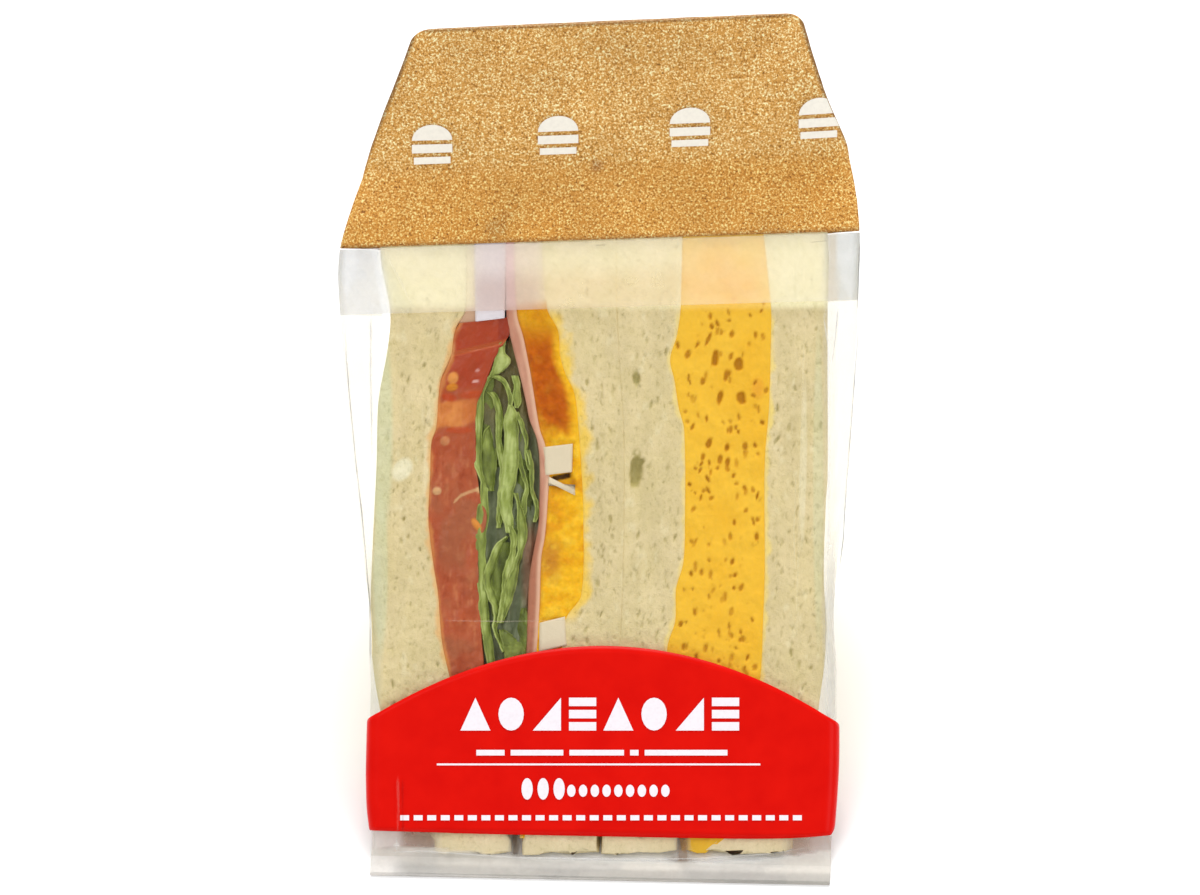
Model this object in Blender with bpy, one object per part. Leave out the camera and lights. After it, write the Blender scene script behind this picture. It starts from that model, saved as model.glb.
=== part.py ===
"""A sealed triangular pack of cut sandwiches: clear bag, closed paper header and wrap-round label.

Units are metres, +Z up. The pack stands on one short side of its triangle. The cut faces of the
bread look forward and up, towards -Y and +Z, and +X is to the right of someone facing them.

The bag is one skin that is followed from its front hem, up the sloping front, to the top of the
header. A height means the distance along that path, 0 at the bottom corner of the triangle."""

import math

import bmesh
import bpy
from mathutils import Vector

MM = 0.001

# Driving sizes
FACE = 150 * MM  # sloping front of the pack, from corner to corner
HEM = 4 * MM  # flat sealed hem in front of the bottom corner
HEADER = 30 * MM  # closed header above the top corner
HEM_THICK = 1.0 * MM
TIP_THICK = 5 * MM  # front to back at the top corner
GAP = 0.3 * MM  # between neighbouring pieces
LABEL_THICK = 0.4 * MM

# Directions of the path, as angles above the floor
HEM_LEAN = math.radians(0)
FACE_LEAN = math.radians(45)
HEADER_LEAN = math.radians(67.5)
BEND = 5 * MM  # length of path over which each bend turns

# Where the header and the label begin and end on the path
HEADER_FROM = 132.3 * MM
LABEL_FROM = 5.5 * MM
LABEL_TO = 46 * MM
LABEL_SAG = 16 * MM  # the arched top edge has dropped this much at ARCH_REACH
ARCH_REACH = 50 * MM
LABEL_FLAP = 11.5 * MM  # how far the label wraps onto each side
SIDE_RISE = 2.8 * MM  # how much higher the label's lower edge starts on the sides

# Width of the front along the path: height, left edge, right edge
FRONT_EDGES = [
    [row[0] * MM, row[1] * MM, row[2] * MM]
    for row in (
        (-4, -48.8, 48.9),
        (3, -48.9, 49.7),
        (12, -49.6, 50.4),
        (24, -49.5, 50.9),
        (40, -49.0, 50.7),
        (52, -49.0, 50.2),
        (63, -50.4, 51.0),
        (76, -52.0, 53.0),
        (95, -54.0, 54.7),
        (117, -56.3, 56.1),
        (131, -56.8, 56.8),
        (141, -54.1, 55.8),
        (150, -50.5, 53.4),
        (160, -46.6, 48.9),
        (170, -42.7, 45.5),
        (180, -39.2, 42.6),
    )
]

# The back is narrower than the front: height, share of the front's width
BACK_SHARES = [
    [row[0] * MM, row[1]]
    for row in ((-4, 1.0), (12, 0.95), (75, 0.79), (128, 0.83), (152, 0.97), (180, 1.0))
]

# The sides bow out over the bread and in behind the top ears: height, bow
SIDE_BOWS = [
    [row[0] * MM, row[1] * MM]
    for row in ((0, 0), (30, 0.8), (72, 1.4), (108, -2.0), (128, -3.0), (144, -1.0), (152, 0))
]

# The header is a flat pillow: height, thickness
HEADER_PILLOW = [
    [row[0] * MM, row[1] * MM]
    for row in ((150, 4.7), (156, 4.5), (165, 4.8), (174, 3.6), (180, 1.6))
]

# The two layers close towards the side edges of the header: height, share closed
EDGE_PINCHES = [[row[0] * MM, row[1]] for row in ((138, 0), (150, 0.3), (163, 0.75), (180, 0.5))]

# The seams slope a little across the pack: height, rise per metre to the right
SLANTS = [[row[0] * MM, row[1]] for row in ((-4, -0.028), (30, 0.0), (131, 0.033), (180, 0.046))]

CORNER = 3.2 * MM  # rounding of the four long edges
HEEL = 9 * MM  # rounding of the bottom back corner of the triangle
TOP_CORNER = 2.8 * MM  # rounding of the header's top corners in outline
THIN_CORNER = 0.45  # share of the thickness that an edge's rounding may take
FULL_BOW_DEPTH = 20 * MM  # where the pack is thinner than this, its sides bow less
LEAST_TURN_IN = 0.1  # a path that points less than this into the pack has the floor behind it

# Divisions of the meshes
PATH_STEP = 0.25 * MM
PATH_SPARE = 4 * MM  # the path goes on this far past both ends
FRONT_PARTS = 14
SIDE_PARTS = 6
BACK_PARTS = 8
CORNER_PARTS = 3
LABEL_ROWS = 12

FILM = (0.92, 0.90, 0.86, 1.0)
KRAFT = (0.60, 0.31, 0.08, 1.0)
RED = (0.72, 0.01, 0.01, 1.0)


def eased(rows, height, column=1):
    """The rows' value at a height, on a smooth curve through them."""
    if height <= rows[0][0]:
        return rows[0][column]
    if height >= rows[-1][0]:
        return rows[-1][column]
    after = next(i for i, row in enumerate(rows) if row[0] > height)
    start, end = rows[after - 1], rows[after]
    slopes = []
    for i in (after - 1, after):
        low = rows[max(i - 1, 0)]
        high = rows[min(i + 1, len(rows) - 1)]
        slopes.append((high[column] - low[column]) / (high[0] - low[0]))
    span = end[0] - start[0]
    t = (height - start[0]) / span
    return (
        start[column] * (2 * t**3 - 3 * t**2 + 1)
        + end[column] * (3 * t**2 - 2 * t**3)
        + span * slopes[0] * (t**3 - 2 * t**2 + t)
        + span * slopes[1] * (t**3 - t**2)
    )


def lean(height):
    """The path's angle above the floor at a height."""
    hem_turn = min(max(height / BEND + 0.5, 0), 1)
    header_turn = min(max((height - FACE) / BEND + 0.5, 0), 1)
    return HEM_LEAN + (FACE_LEAN - HEM_LEAN) * hem_turn + (HEADER_LEAN - FACE_LEAN) * header_turn


def walk_path():
    """Points of the path, a step apart, from in front of the hem to above the header."""
    height = -HEM - PATH_SPARE
    y, z = 0.0, HEM_THICK
    points = []
    while height < FACE + HEADER + PATH_SPARE:
        points.append((height, y, z))
        turn = lean(height + PATH_STEP / 2)
        y += PATH_STEP * math.cos(turn)
        z += PATH_STEP * math.sin(turn)
        height += PATH_STEP
    return points


PATH = walk_path()


def on_path(height):
    """The path's point at a height, and the direction into the pack from there."""
    place = (height - PATH[0][0]) / PATH_STEP
    i = min(max(int(place), 0), len(PATH) - 2)
    share = place - i
    y = PATH[i][1] * (1 - share) + PATH[i + 1][1] * share
    z = PATH[i][2] * (1 - share) + PATH[i + 1][2] * share
    turn = lean(height)
    return Vector((0, y, z)), Vector((0, math.sin(turn), -math.cos(turn)))


# The upright back stands one short side of the triangle behind the bottom corner
BACK_Y = on_path(0)[0].y + (FACE + TIP_THICK) * math.cos(FACE_LEAN)


def depth(height):
    """Thickness of the pack behind the front, down to the floor or back to the upright back."""
    point, inward = on_path(height)
    to_floor = point.z / -inward.z
    if height > FACE:
        return eased(HEADER_PILLOW, height)
    if inward.y < LEAST_TURN_IN:
        return to_floor
    to_back = (BACK_Y - point.y) / inward.y
    blend = max(HEEL - abs(to_floor - to_back), 0) / HEEL
    return min(to_floor, to_back) - blend**2 * HEEL / 4


def top_corner_cut(height):
    """How much the rounded top corners take off each side of the header."""
    into = height - (FACE + HEADER - TOP_CORNER)
    if into <= 0:
        return 0.0
    return TOP_CORNER - math.sqrt(max(TOP_CORNER**2 - into**2, 0))


def rounded(corner, before, after, radius):
    """A corner replaced by a short curve between the two neighbouring corners."""
    start = corner + (before - corner).normalized() * radius
    end = corner + (after - corner).normalized() * radius
    curve = []
    for i in range(CORNER_PARTS + 1):
        t = i / CORNER_PARTS
        curve.append(start * (1 - t) ** 2 + corner * 2 * t * (1 - t) + end * t**2)
    return curve


def between(start, end, parts):
    """The points strictly between two points."""
    return [start.lerp(end, i / parts) for i in range(1, parts)]


def section(height):
    """Closed outline of the pack across the path, as (across, inward), from the middle of the front."""
    deep = depth(height)
    cut = top_corner_cut(height)
    left = eased(FRONT_EDGES, height, 1) + cut
    right = eased(FRONT_EDGES, height, 2) - cut
    share = eased(BACK_SHARES, height)
    radius = min(CORNER, THIN_CORNER * deep)
    corners = [
        Vector((right, 0)),
        Vector((right * share, deep)),
        Vector((left * share, deep)),
        Vector((left, 0)),
    ]
    curves = []
    for i, corner in enumerate(corners):
        curves.append(rounded(corner, corners[i - 1], corners[(i + 1) % 4], radius))
    middle = Vector((0, 0))
    parts = [FRONT_PARTS // 2, SIDE_PARTS, BACK_PARTS, SIDE_PARTS]
    outline = [middle] + between(middle, curves[0][0], parts[0])
    for i in range(3):
        outline += curves[i] + between(curves[i][-1], curves[i + 1][0], parts[i + 1])
    outline += curves[3] + between(curves[3][-1], middle, parts[0])
    bow = eased(SIDE_BOWS, height) * min(deep / FULL_BOW_DEPTH, 1)
    pinch = eased(EDGE_PINCHES, height)
    shaped = []
    for point in outline:
        inside = min(max(point.y / deep, 0), 1)
        side = 1 if point.x > 0 else -1
        across = point.x + side * bow * math.sin(math.pi * inside)
        edge = right if point.x > 0 else -left
        closed = 1 - pinch * min(abs(point.x) / edge, 1) ** 4
        shaped.append(Vector((across, deep / 2 + (point.y - deep / 2) * closed)))
    return shaped


def in_space(height, point):
    """A point of a section, placed in space. The seams' slant shifts it along the path."""
    slanted = height + eased(SLANTS, height) * point.x
    place, inward = on_path(slanted)
    if height < FACE:
        inner_share = min(point.y / max(depth(height), 1e-6), 1.0)
        inward = inward * (inner_share * depth(slanted))
    else:
        inward = inward * point.y
    return place + inward + Vector((point.x, 0, 0))


def material(name, colour, roughness):
    made = bpy.data.materials.new(name)
    made.use_nodes = True
    shader = made.node_tree.nodes["Principled BSDF"]
    shader.inputs["Base Color"].default_value = colour
    shader.inputs["Roughness"].default_value = roughness
    return made


def finished(mesh_maker, name, colour, roughness, collection):
    """The named object made from an edited mesh."""
    bmesh.ops.recalc_face_normals(mesh_maker, faces=mesh_maker.faces)
    mesh = bpy.data.meshes.new(name)
    mesh_maker.to_mesh(mesh)
    mesh_maker.free()
    mesh.materials.append(material(name, colour, roughness))
    mesh.shade_smooth()
    mesh.set_sharp_from_angle(angle=math.radians(40))
    made = bpy.data.objects.new(name, mesh)
    collection.objects.link(made)
    return made


def lofted(heights, name, colour, roughness, collection):
    """A closed solid through the sections at these heights."""
    shape = bmesh.new()
    rings = []
    for height in heights:
        rings.append([shape.verts.new(in_space(height, point)) for point in section(height)])
    for low, high in zip(rings, rings[1:]):
        for i in range(len(low)):
            j = (i + 1) % len(low)
            shape.faces.new((low[i], low[j], high[j], high[i]))
    shape.faces.new(list(reversed(rings[0])))
    shape.faces.new(rings[-1])
    return finished(shape, name, colour, roughness, collection)


def steps(start, end, count):
    return [start + (end - start) * i / count for i in range(count + 1)]


def bag_heights():
    """Sections of the bag: close together at the hem, the heel and the upper edge."""
    heel = FACE / 2
    return (
        steps(-HEM, -BEND / 2, 2)
        + steps(-BEND / 2, BEND / 2, 4)[1:]
        + steps(BEND / 2, heel - HEEL, 12)[1:]
        + steps(heel - HEEL, heel + HEEL, 8)[1:]
        + steps(heel + HEEL, HEADER_FROM - GAP / 2, 10)[1:]
    )


def header_heights():
    """Sections of the header: close together at its bend and its rounded top corners."""
    top = FACE + HEADER
    round_start = top - TOP_CORNER
    rounds = [round_start + TOP_CORNER * math.sin(math.radians(a)) for a in (22, 45, 65, 80)]
    return (
        steps(HEADER_FROM + GAP / 2, FACE - BEND, 4)
        + steps(FACE - BEND, FACE + BEND, 6)[1:]
        + steps(FACE + BEND, round_start, 7)[1:]
        + rounds
    )


def label_point(height, girth, out):
    """A point off the bag's skin: girth is measured round it from the middle of the front."""
    outline = section(height)
    if girth < 0:
        outline = [outline[0]] + list(reversed(outline[1:]))
    left_to_go = abs(girth)
    for start, end in zip(outline, outline[1:]):
        run = (end - start).length
        if run >= left_to_go:
            break
        left_to_go -= run
    along = (end - start).normalized()
    outward = Vector((along.y, -along.x)) if girth >= 0 else Vector((-along.y, along.x))
    point = start + along * left_to_go + outward * out
    slanted = height + eased(SLANTS, height) * point.x
    place, inward = on_path(slanted)
    return place + inward * point.y + Vector((point.x, 0, 0))


def label_bottom(girth):
    """The label's lower edge. On the sides it stays above the pack's bottom edge."""
    into_side = abs(girth) - ARCH_REACH
    return LABEL_FROM + max(into_side + SIDE_RISE, 0)


def label_top(girth):
    return LABEL_TO - LABEL_SAG * (girth / ARCH_REACH) ** 2


def label_girths():
    """Places round the bag for the label's columns: close together where it turns a corner."""
    reach = ARCH_REACH + LABEL_FLAP
    turn_from = ARCH_REACH - 4 * MM
    turn_to = ARCH_REACH + 5 * MM
    right = steps(0, turn_from, 7) + steps(turn_from, turn_to, 12)[1:] + steps(turn_to, reach, 4)[1:]
    return [-girth for girth in reversed(right[1:])] + right


def make_label(collection):
    """A thin skin on the front, wrapped onto both sides, with an arched top edge."""
    shape = bmesh.new()
    girths = label_girths()
    layers = []
    for out in (GAP, GAP + LABEL_THICK):
        rows = []
        for j in range(LABEL_ROWS + 1):
            row = []
            for girth in girths:
                low = label_bottom(girth)
                high = max(label_top(girth), low + MM)
                height = low + (high - low) * j / LABEL_ROWS
                row.append(shape.verts.new(label_point(height, girth, out)))
            rows.append(row)
        layers.append(rows)
    inner, outer = layers
    for rows in layers:
        for low, high in zip(rows, rows[1:]):
            for i in range(len(girths) - 1):
                shape.faces.new((low[i], low[i + 1], high[i + 1], high[i]))
    for j in range(LABEL_ROWS):
        for i in (0, -1):
            shape.faces.new((inner[j][i], inner[j + 1][i], outer[j + 1][i], outer[j][i]))
    for i in range(len(girths) - 1):
        for j in (0, -1):
            shape.faces.new((inner[j][i], inner[j][i + 1], outer[j][i + 1], outer[j][i]))
    return finished(shape, "front_label", RED, 0.3, collection)


def centre_on_floor(objects):
    """Moves the pieces together so that the middle of their footprint is the origin."""
    corners = [vertex.co for made in objects for vertex in made.data.vertices]
    lows = [min(corner[axis] for corner in corners) for axis in range(3)]
    highs = [max(corner[axis] for corner in corners) for axis in range(3)]
    shift = Vector(((lows[0] + highs[0]) / -2, (lows[1] + highs[1]) / -2, -lows[2]))
    for made in objects:
        for vertex in made.data.vertices:
            vertex.co += shift


def main():
    for old in list(bpy.data.objects):
        bpy.data.objects.remove(old, do_unlink=True)
    pack = bpy.data.collections.new("sandwich_pack")
    bpy.context.scene.collection.children.link(pack)
    pieces = [
        lofted(bag_heights(), "film_bag", FILM, 0.15, pack),
        lofted(header_heights(), "kraft_header", KRAFT, 0.5, pack),
        make_label(pack),
    ]
    centre_on_floor(pieces)


main()
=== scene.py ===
"""Looks of a sealed triangular pack of cut sandwiches: clear bag, paper header, label and the food inside.

Sizes are in millimetres, and turn into metres when a mesh is made. A place on or in the pack is given as
(across, height, inward): across is to the right, height is the distance up the sloping front from its
bottom corner, and inward is the distance behind the front film. The skin repeats the solid model's."""

import itertools
import math

import bmesh
import bpy
import numpy as np
from mathutils import Matrix, Vector


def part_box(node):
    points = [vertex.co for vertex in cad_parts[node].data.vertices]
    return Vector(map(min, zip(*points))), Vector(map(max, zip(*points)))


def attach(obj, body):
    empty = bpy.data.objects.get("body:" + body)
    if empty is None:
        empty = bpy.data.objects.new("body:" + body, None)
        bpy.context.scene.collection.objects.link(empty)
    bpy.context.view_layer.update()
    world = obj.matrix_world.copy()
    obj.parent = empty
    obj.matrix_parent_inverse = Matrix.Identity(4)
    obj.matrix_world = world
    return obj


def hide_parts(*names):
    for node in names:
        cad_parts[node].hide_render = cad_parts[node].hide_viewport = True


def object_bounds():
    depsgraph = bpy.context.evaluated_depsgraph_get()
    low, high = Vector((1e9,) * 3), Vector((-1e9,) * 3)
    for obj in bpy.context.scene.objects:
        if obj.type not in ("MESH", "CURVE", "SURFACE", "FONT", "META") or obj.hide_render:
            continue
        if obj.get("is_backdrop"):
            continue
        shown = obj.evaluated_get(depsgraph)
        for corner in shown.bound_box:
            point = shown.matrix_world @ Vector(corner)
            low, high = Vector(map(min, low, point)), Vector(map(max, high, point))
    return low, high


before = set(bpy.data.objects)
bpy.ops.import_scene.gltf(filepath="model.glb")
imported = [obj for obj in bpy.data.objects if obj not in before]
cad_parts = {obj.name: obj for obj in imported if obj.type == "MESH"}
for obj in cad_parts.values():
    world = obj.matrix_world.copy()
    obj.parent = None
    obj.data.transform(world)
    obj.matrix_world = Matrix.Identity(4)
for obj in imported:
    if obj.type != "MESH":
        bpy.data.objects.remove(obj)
cad_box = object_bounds()

MM = 0.001

# Driving sizes of the skin
FACE = 150
HEM = 4
HEADER = 30
HEM_THICK = 1.0
TIP_THICK = 5
GAP = 0.3
FACE_LEAN = math.radians(45)
HEADER_LEAN = math.radians(67.5)
BEND = 5
HEADER_FROM = 132.3
BAND_FROM = 118
LABEL_FROM = 5.5
LABEL_TO = 46
LABEL_SAG = 16
ARCH_REACH = 50
LABEL_FLAP = 11.5
SIDE_RISE = 2.8
CORNER = 3.2
HEEL = 9
TOP_CORNER = 2.8
THIN_CORNER = 0.45
FULL_BOW_DEPTH = 20
LEAST_TURN_IN = 0.1
PATH_STEP = 0.25
PATH_SPARE = 4
TOP = FACE + HEADER
HEM_TO = 0.2

# Thickness of the sheets
PAPER_THICK = 0.18
LABEL_THICK = 0.2
INK_OFF = 0.12
LEAF_THICK = 0.3

# Width of the front along the path: height, left edge, right edge
FRONT_EDGES = (
    (-4, -48.8, 48.9), (3, -48.9, 49.7), (12, -49.6, 50.4), (24, -49.5, 50.9), (40, -49.0, 50.7),
    (52, -49.0, 50.2), (63, -50.4, 51.0), (76, -52.0, 53.0), (95, -54.0, 54.7), (117, -56.3, 56.1),
    (131, -56.8, 56.8), (141, -54.1, 55.8), (150, -50.5, 53.4), (160, -46.6, 48.9), (170, -42.7, 45.5),
    (180, -39.2, 42.6),
)

# Height with: the back's share of the front's width, bow of the sides, header's thickness,
# how far the header's side edges are closed, rise of the seams to the right
BACK_SHARES = ((-4, 1.0), (12, 0.95), (75, 0.79), (128, 0.83), (152, 0.97), (180, 1.0))
SIDE_BOWS = ((0, 0), (30, 0.8), (72, 1.4), (108, -2.0), (128, -3.0), (144, -1.0), (152, 0))
HEADER_PILLOW = ((150, 4.7), (156, 4.5), (165, 4.8), (174, 3.6), (180, 1.6))
EDGE_PINCHES = ((138, 0), (150, 0.3), (163, 0.75), (180, 0.5))
SLANTS = ((-4, -0.028), (30, 0.0), (131, 0.033), (180, 0.046))

# Room left between the film and the food
FRONT_ROOM = 1.1
BACK_ROOM = 0.9
SIDE_ROOM = 0.5

# Heights at which the outer edges of the slices are given: bottom corner, back corner, top corner
CLOSING_HEIGHTS = (2, 75, 150)


def eased(rows, height, column=1):
    """The rows' value at each height, on a smooth curve through them."""
    table = np.array(rows, dtype=float)
    places, values = table[:, 0], table[:, column]
    height = np.clip(height, places[0], places[-1])
    order = np.arange(len(places))
    lows, highs = np.maximum(order - 1, 0), np.minimum(order + 1, order[-1])
    slopes = (values[highs] - values[lows]) / (places[highs] - places[lows])
    after = np.clip(np.searchsorted(places, height, side="right"), 1, order[-1])
    before = after - 1
    span = places[after] - places[before]
    t = (height - places[before]) / span
    return (
        values[before] * (2 * t**3 - 3 * t**2 + 1)
        + values[after] * (3 * t**2 - 2 * t**3)
        + span * slopes[before] * (t**3 - 2 * t**2 + t)
        + span * slopes[after] * (t**3 - t**2)
    )


def lean(height):
    """The path's angle above the floor at each height."""
    hem_turn = np.clip(height / BEND + 0.5, 0, 1)
    header_turn = np.clip((height - FACE) / BEND + 0.5, 0, 1)
    return FACE_LEAN * hem_turn + (HEADER_LEAN - FACE_LEAN) * header_turn


def walk_path():
    """Heights along the path with the path's places, a step apart."""
    heights = np.arange(-HEM - PATH_SPARE, TOP + PATH_SPARE, PATH_STEP)
    turns = lean(heights[:-1] + PATH_STEP / 2)
    ys = np.concatenate([[0], np.cumsum(PATH_STEP * np.cos(turns))])
    zs = np.concatenate([[0], np.cumsum(PATH_STEP * np.sin(turns))]) + HEM_THICK
    return heights, ys, zs


PATH = walk_path()


def on_path(height):
    """The path's (y, z) at each height, and the (y, z) direction into the pack from there."""
    y, z = [np.interp(height, PATH[0], places) for places in PATH[1:]]
    return y, z, np.sin(lean(height)), -np.cos(lean(height))


BACK_Y = on_path(0.0)[0] + (FACE + TIP_THICK) * math.cos(FACE_LEAN)


def off_path(across, height, inward):
    """Places at a distance inward from the path."""
    y, z, inward_y, inward_z = on_path(height)
    return np.stack(np.broadcast_arrays(across, y + inward_y * inward, z + inward_z * inward), -1)


def slanted(across, height):
    """Heights shifted along the path by the seams' slant."""
    return height + eased(SLANTS, height) * across


def inside(across, height, inward):
    """Places in the pack, measured square to its straight front."""
    y, z, inward_y, inward_z = on_path(FACE / 2)
    y = y + (height - FACE / 2) * math.cos(FACE_LEAN) + inward * inward_y
    z = z + (height - FACE / 2) * math.sin(FACE_LEAN) + inward * inward_z
    return np.stack(np.broadcast_arrays(across, y, z), -1)


def depth(height):
    """Thickness of the pack behind the front, down to the floor or back to the upright back."""
    y, z, inward_y, inward_z = on_path(height)
    to_floor = z / -inward_z
    to_back = (BACK_Y - y) / np.maximum(inward_y, LEAST_TURN_IN)
    blend = np.maximum(HEEL - abs(to_floor - to_back), 0) / HEEL
    corner = np.minimum(to_floor, to_back) - blend**2 * HEEL / 4
    body = np.where(inward_y < LEAST_TURN_IN, to_floor, corner)
    return np.where(height > FACE, eased(HEADER_PILLOW, height), body)


def front_sides(height):
    """Left and right edge of the front, less what the header's round top corners take off."""
    into = np.maximum(height - (TOP - TOP_CORNER), 0)
    cut = TOP_CORNER - np.sqrt(np.maximum(TOP_CORNER**2 - into**2, 0))
    return eased(FRONT_EDGES, height, 1) + cut, eased(FRONT_EDGES, height, 2) - cut


def pinch(across, height):
    """How far the header's faces are closed together, most at its side edges."""
    left, right = front_sides(height)
    edge = np.where(across > 0, right, -left)
    return eased(EDGE_PINCHES, height) * np.minimum(abs(across) / edge, 1) ** 4


def rounded(corner, before, after, radius, parts):
    """Corners replaced by a short curve between their two neighbours."""
    ends = [corner]
    for other in (before, after):
        away = (other - corner) / np.linalg.norm(other - corner, axis=1, keepdims=True)
        ends.append(corner + away * radius[:, None])
    middle, start, end = [place[:, None] for place in ends]
    t = np.linspace(0, 1, parts + 1)[None, :, None]
    return start * (1 - t) ** 2 + middle * 2 * t * (1 - t) + end * t**2


def between(start, end, parts):
    """The points strictly between two points, for each height."""
    t = np.linspace(0, 1, parts + 1)[None, 1:-1, None]
    return start[:, None] * (1 - t) + end[:, None] * t


def outlines(heights, front=24, side=12, back=16, corner=4):
    """Closed outlines of the skin, as (across, inward), from the middle of the front to the right."""
    deep = depth(heights)
    left, right = front_sides(heights)
    share = eased(BACK_SHARES, heights)
    radius = np.minimum(CORNER, THIN_CORNER * deep)
    zero = np.zeros_like(deep)
    corners = [(right, zero), (right * share, deep), (left * share, deep), (left, zero)]
    corners = [np.stack(place, 1) for place in corners]
    curves = [rounded(corners[i], corners[i - 1], corners[(i + 1) % 4], radius, corner) for i in range(4)]
    middle = np.stack([zero, zero], 1)
    pieces = [middle[:, None], between(middle, curves[0][:, 0], front)]
    for i, parts in enumerate((side, back, side)):
        pieces += [curves[i], between(curves[i][:, -1], curves[i + 1][:, 0], parts)]
    pieces += [curves[3], between(curves[3][:, -1], middle, front)]
    across, inward = np.moveaxis(np.concatenate(pieces, axis=1), -1, 0)
    deep, heights = deep[:, None], heights[:, None]
    bow = eased(SIDE_BOWS, heights) * np.minimum(deep / FULL_BOW_DEPTH, 1)
    bowed = across + np.sign(across) * bow * np.sin(np.pi * np.clip(inward / deep, 0, 1))
    closed = 1 - pinch(across, heights)
    return np.stack([bowed, deep / 2 + (inward - deep / 2) * closed], -1)


def skin_places(heights, outline):
    """Outline points in space. The seams' slant shifts them along the path."""
    heights = heights[:, None]
    across, inward = np.moveaxis(outline, -1, 0)
    shifted = slanted(across, heights)
    share = np.minimum(inward / np.maximum(depth(heights), 1e-6), 1)
    return off_path(across, shifted, np.where(heights < FACE, share * depth(shifted), inward))


def centring():
    """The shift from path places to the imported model, from the bag's box."""
    heights = np.arange(-HEM, HEADER_FROM - GAP / 2, 0.5)
    places = skin_places(heights, outlines(heights)).reshape(-1, 3)
    low, high = places.min(0), places.max(0)
    box_low, box_high = np.array(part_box("film_bag")) / MM
    return np.array([(box_low[0] + box_high[0] - low[0] - high[0]) / 2, *(box_low - low)[1:]])


SHIFT = centring()


def noise(points, size, seed):
    """Smooth seeded noise from -1 to 1, with lumps about this size."""
    place = np.asarray(points, dtype=float) / size + 37.1 * seed
    cell = np.floor(place).astype(np.int64)
    share = place - cell
    share = share * share * (3 - 2 * share)
    total = np.zeros(place.shape[:-1])
    for corner in itertools.product((0, 1), repeat=place.shape[-1]):
        key = np.full(total.shape, seed * 7919 + 101, dtype=np.int64)
        weight = np.ones(total.shape)
        for axis, step in enumerate(corner):
            key = (key * 31 + cell[..., axis] + step) & 0xFFFFFFFF
            key = ((key ^ (key >> 15)) * 0x2C1B3C6D) & 0xFFFFFFFF
            key = ((key ^ (key >> 12)) * 0x297A2D39) & 0xFFFFFFFF
            weight = weight * (share[..., axis] if step else 1 - share[..., axis])
        total += weight * ((key & 0xFFFF) / 32767.5 - 1)
    return total


def layered_noise(points, size, seed, layers=3):
    """Noise of several sizes, each half as large and half as strong as the last."""
    return sum(noise(points, size / 2**layer, seed + layer) / 2**layer for layer in range(layers))


def rgb(red, green, blue):
    """A linear colour from screen values up to 255."""
    shown = np.array([red, green, blue]) / 255
    return np.where(shown <= 0.04045, shown / 12.92, ((shown + 0.055) / 1.055) ** 2.4)


def mixed(first, second, share):
    """Two colours mixed, each a single colour or one for every point."""
    share = np.clip(share, 0, 1)[..., None]
    return np.asarray(first) * (1 - share) + np.asarray(second) * share


def painted(colour, *layers):
    """A colour with (colour, share) layers over it."""
    for shade, share in layers:
        colour = mixed(colour, shade, share)
    return colour


def step_up(value, low, high):
    """0 below low, 1 above high and a smooth rise between."""
    t = np.clip((np.asarray(value, dtype=float) - low) / (high - low), 0, 1)
    return t * t * (3 - 2 * t)


def fall(value, low, high):
    """1 below low, 0 above high and a smooth fall between."""
    return 1 - step_up(value, low, high)


def within(value, low, high, soft):
    """1 between low and high, with soft edges."""
    return step_up(value, low - soft, low + soft) * fall(value, high - soft, high + soft)


def from_oval(across, height, x, h, half_x, half_h, tilt=0.0):
    """Distance from the middle of an oval at (x, h), 1 at its edge."""
    return np.sqrt(((across - x - tilt * (height - h)) / half_x) ** 2 + ((height - h) / half_h) ** 2)


def spots(across, height, colour, rows):
    """Paints soft-edged ovals. Each: across, height, half sizes, tilt, colour, strength."""
    for *place, shade, strength in rows:
        colour = mixed(colour, shade, strength * fall(from_oval(across, height, *place), 0.7, 1.15))
    return colour


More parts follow.
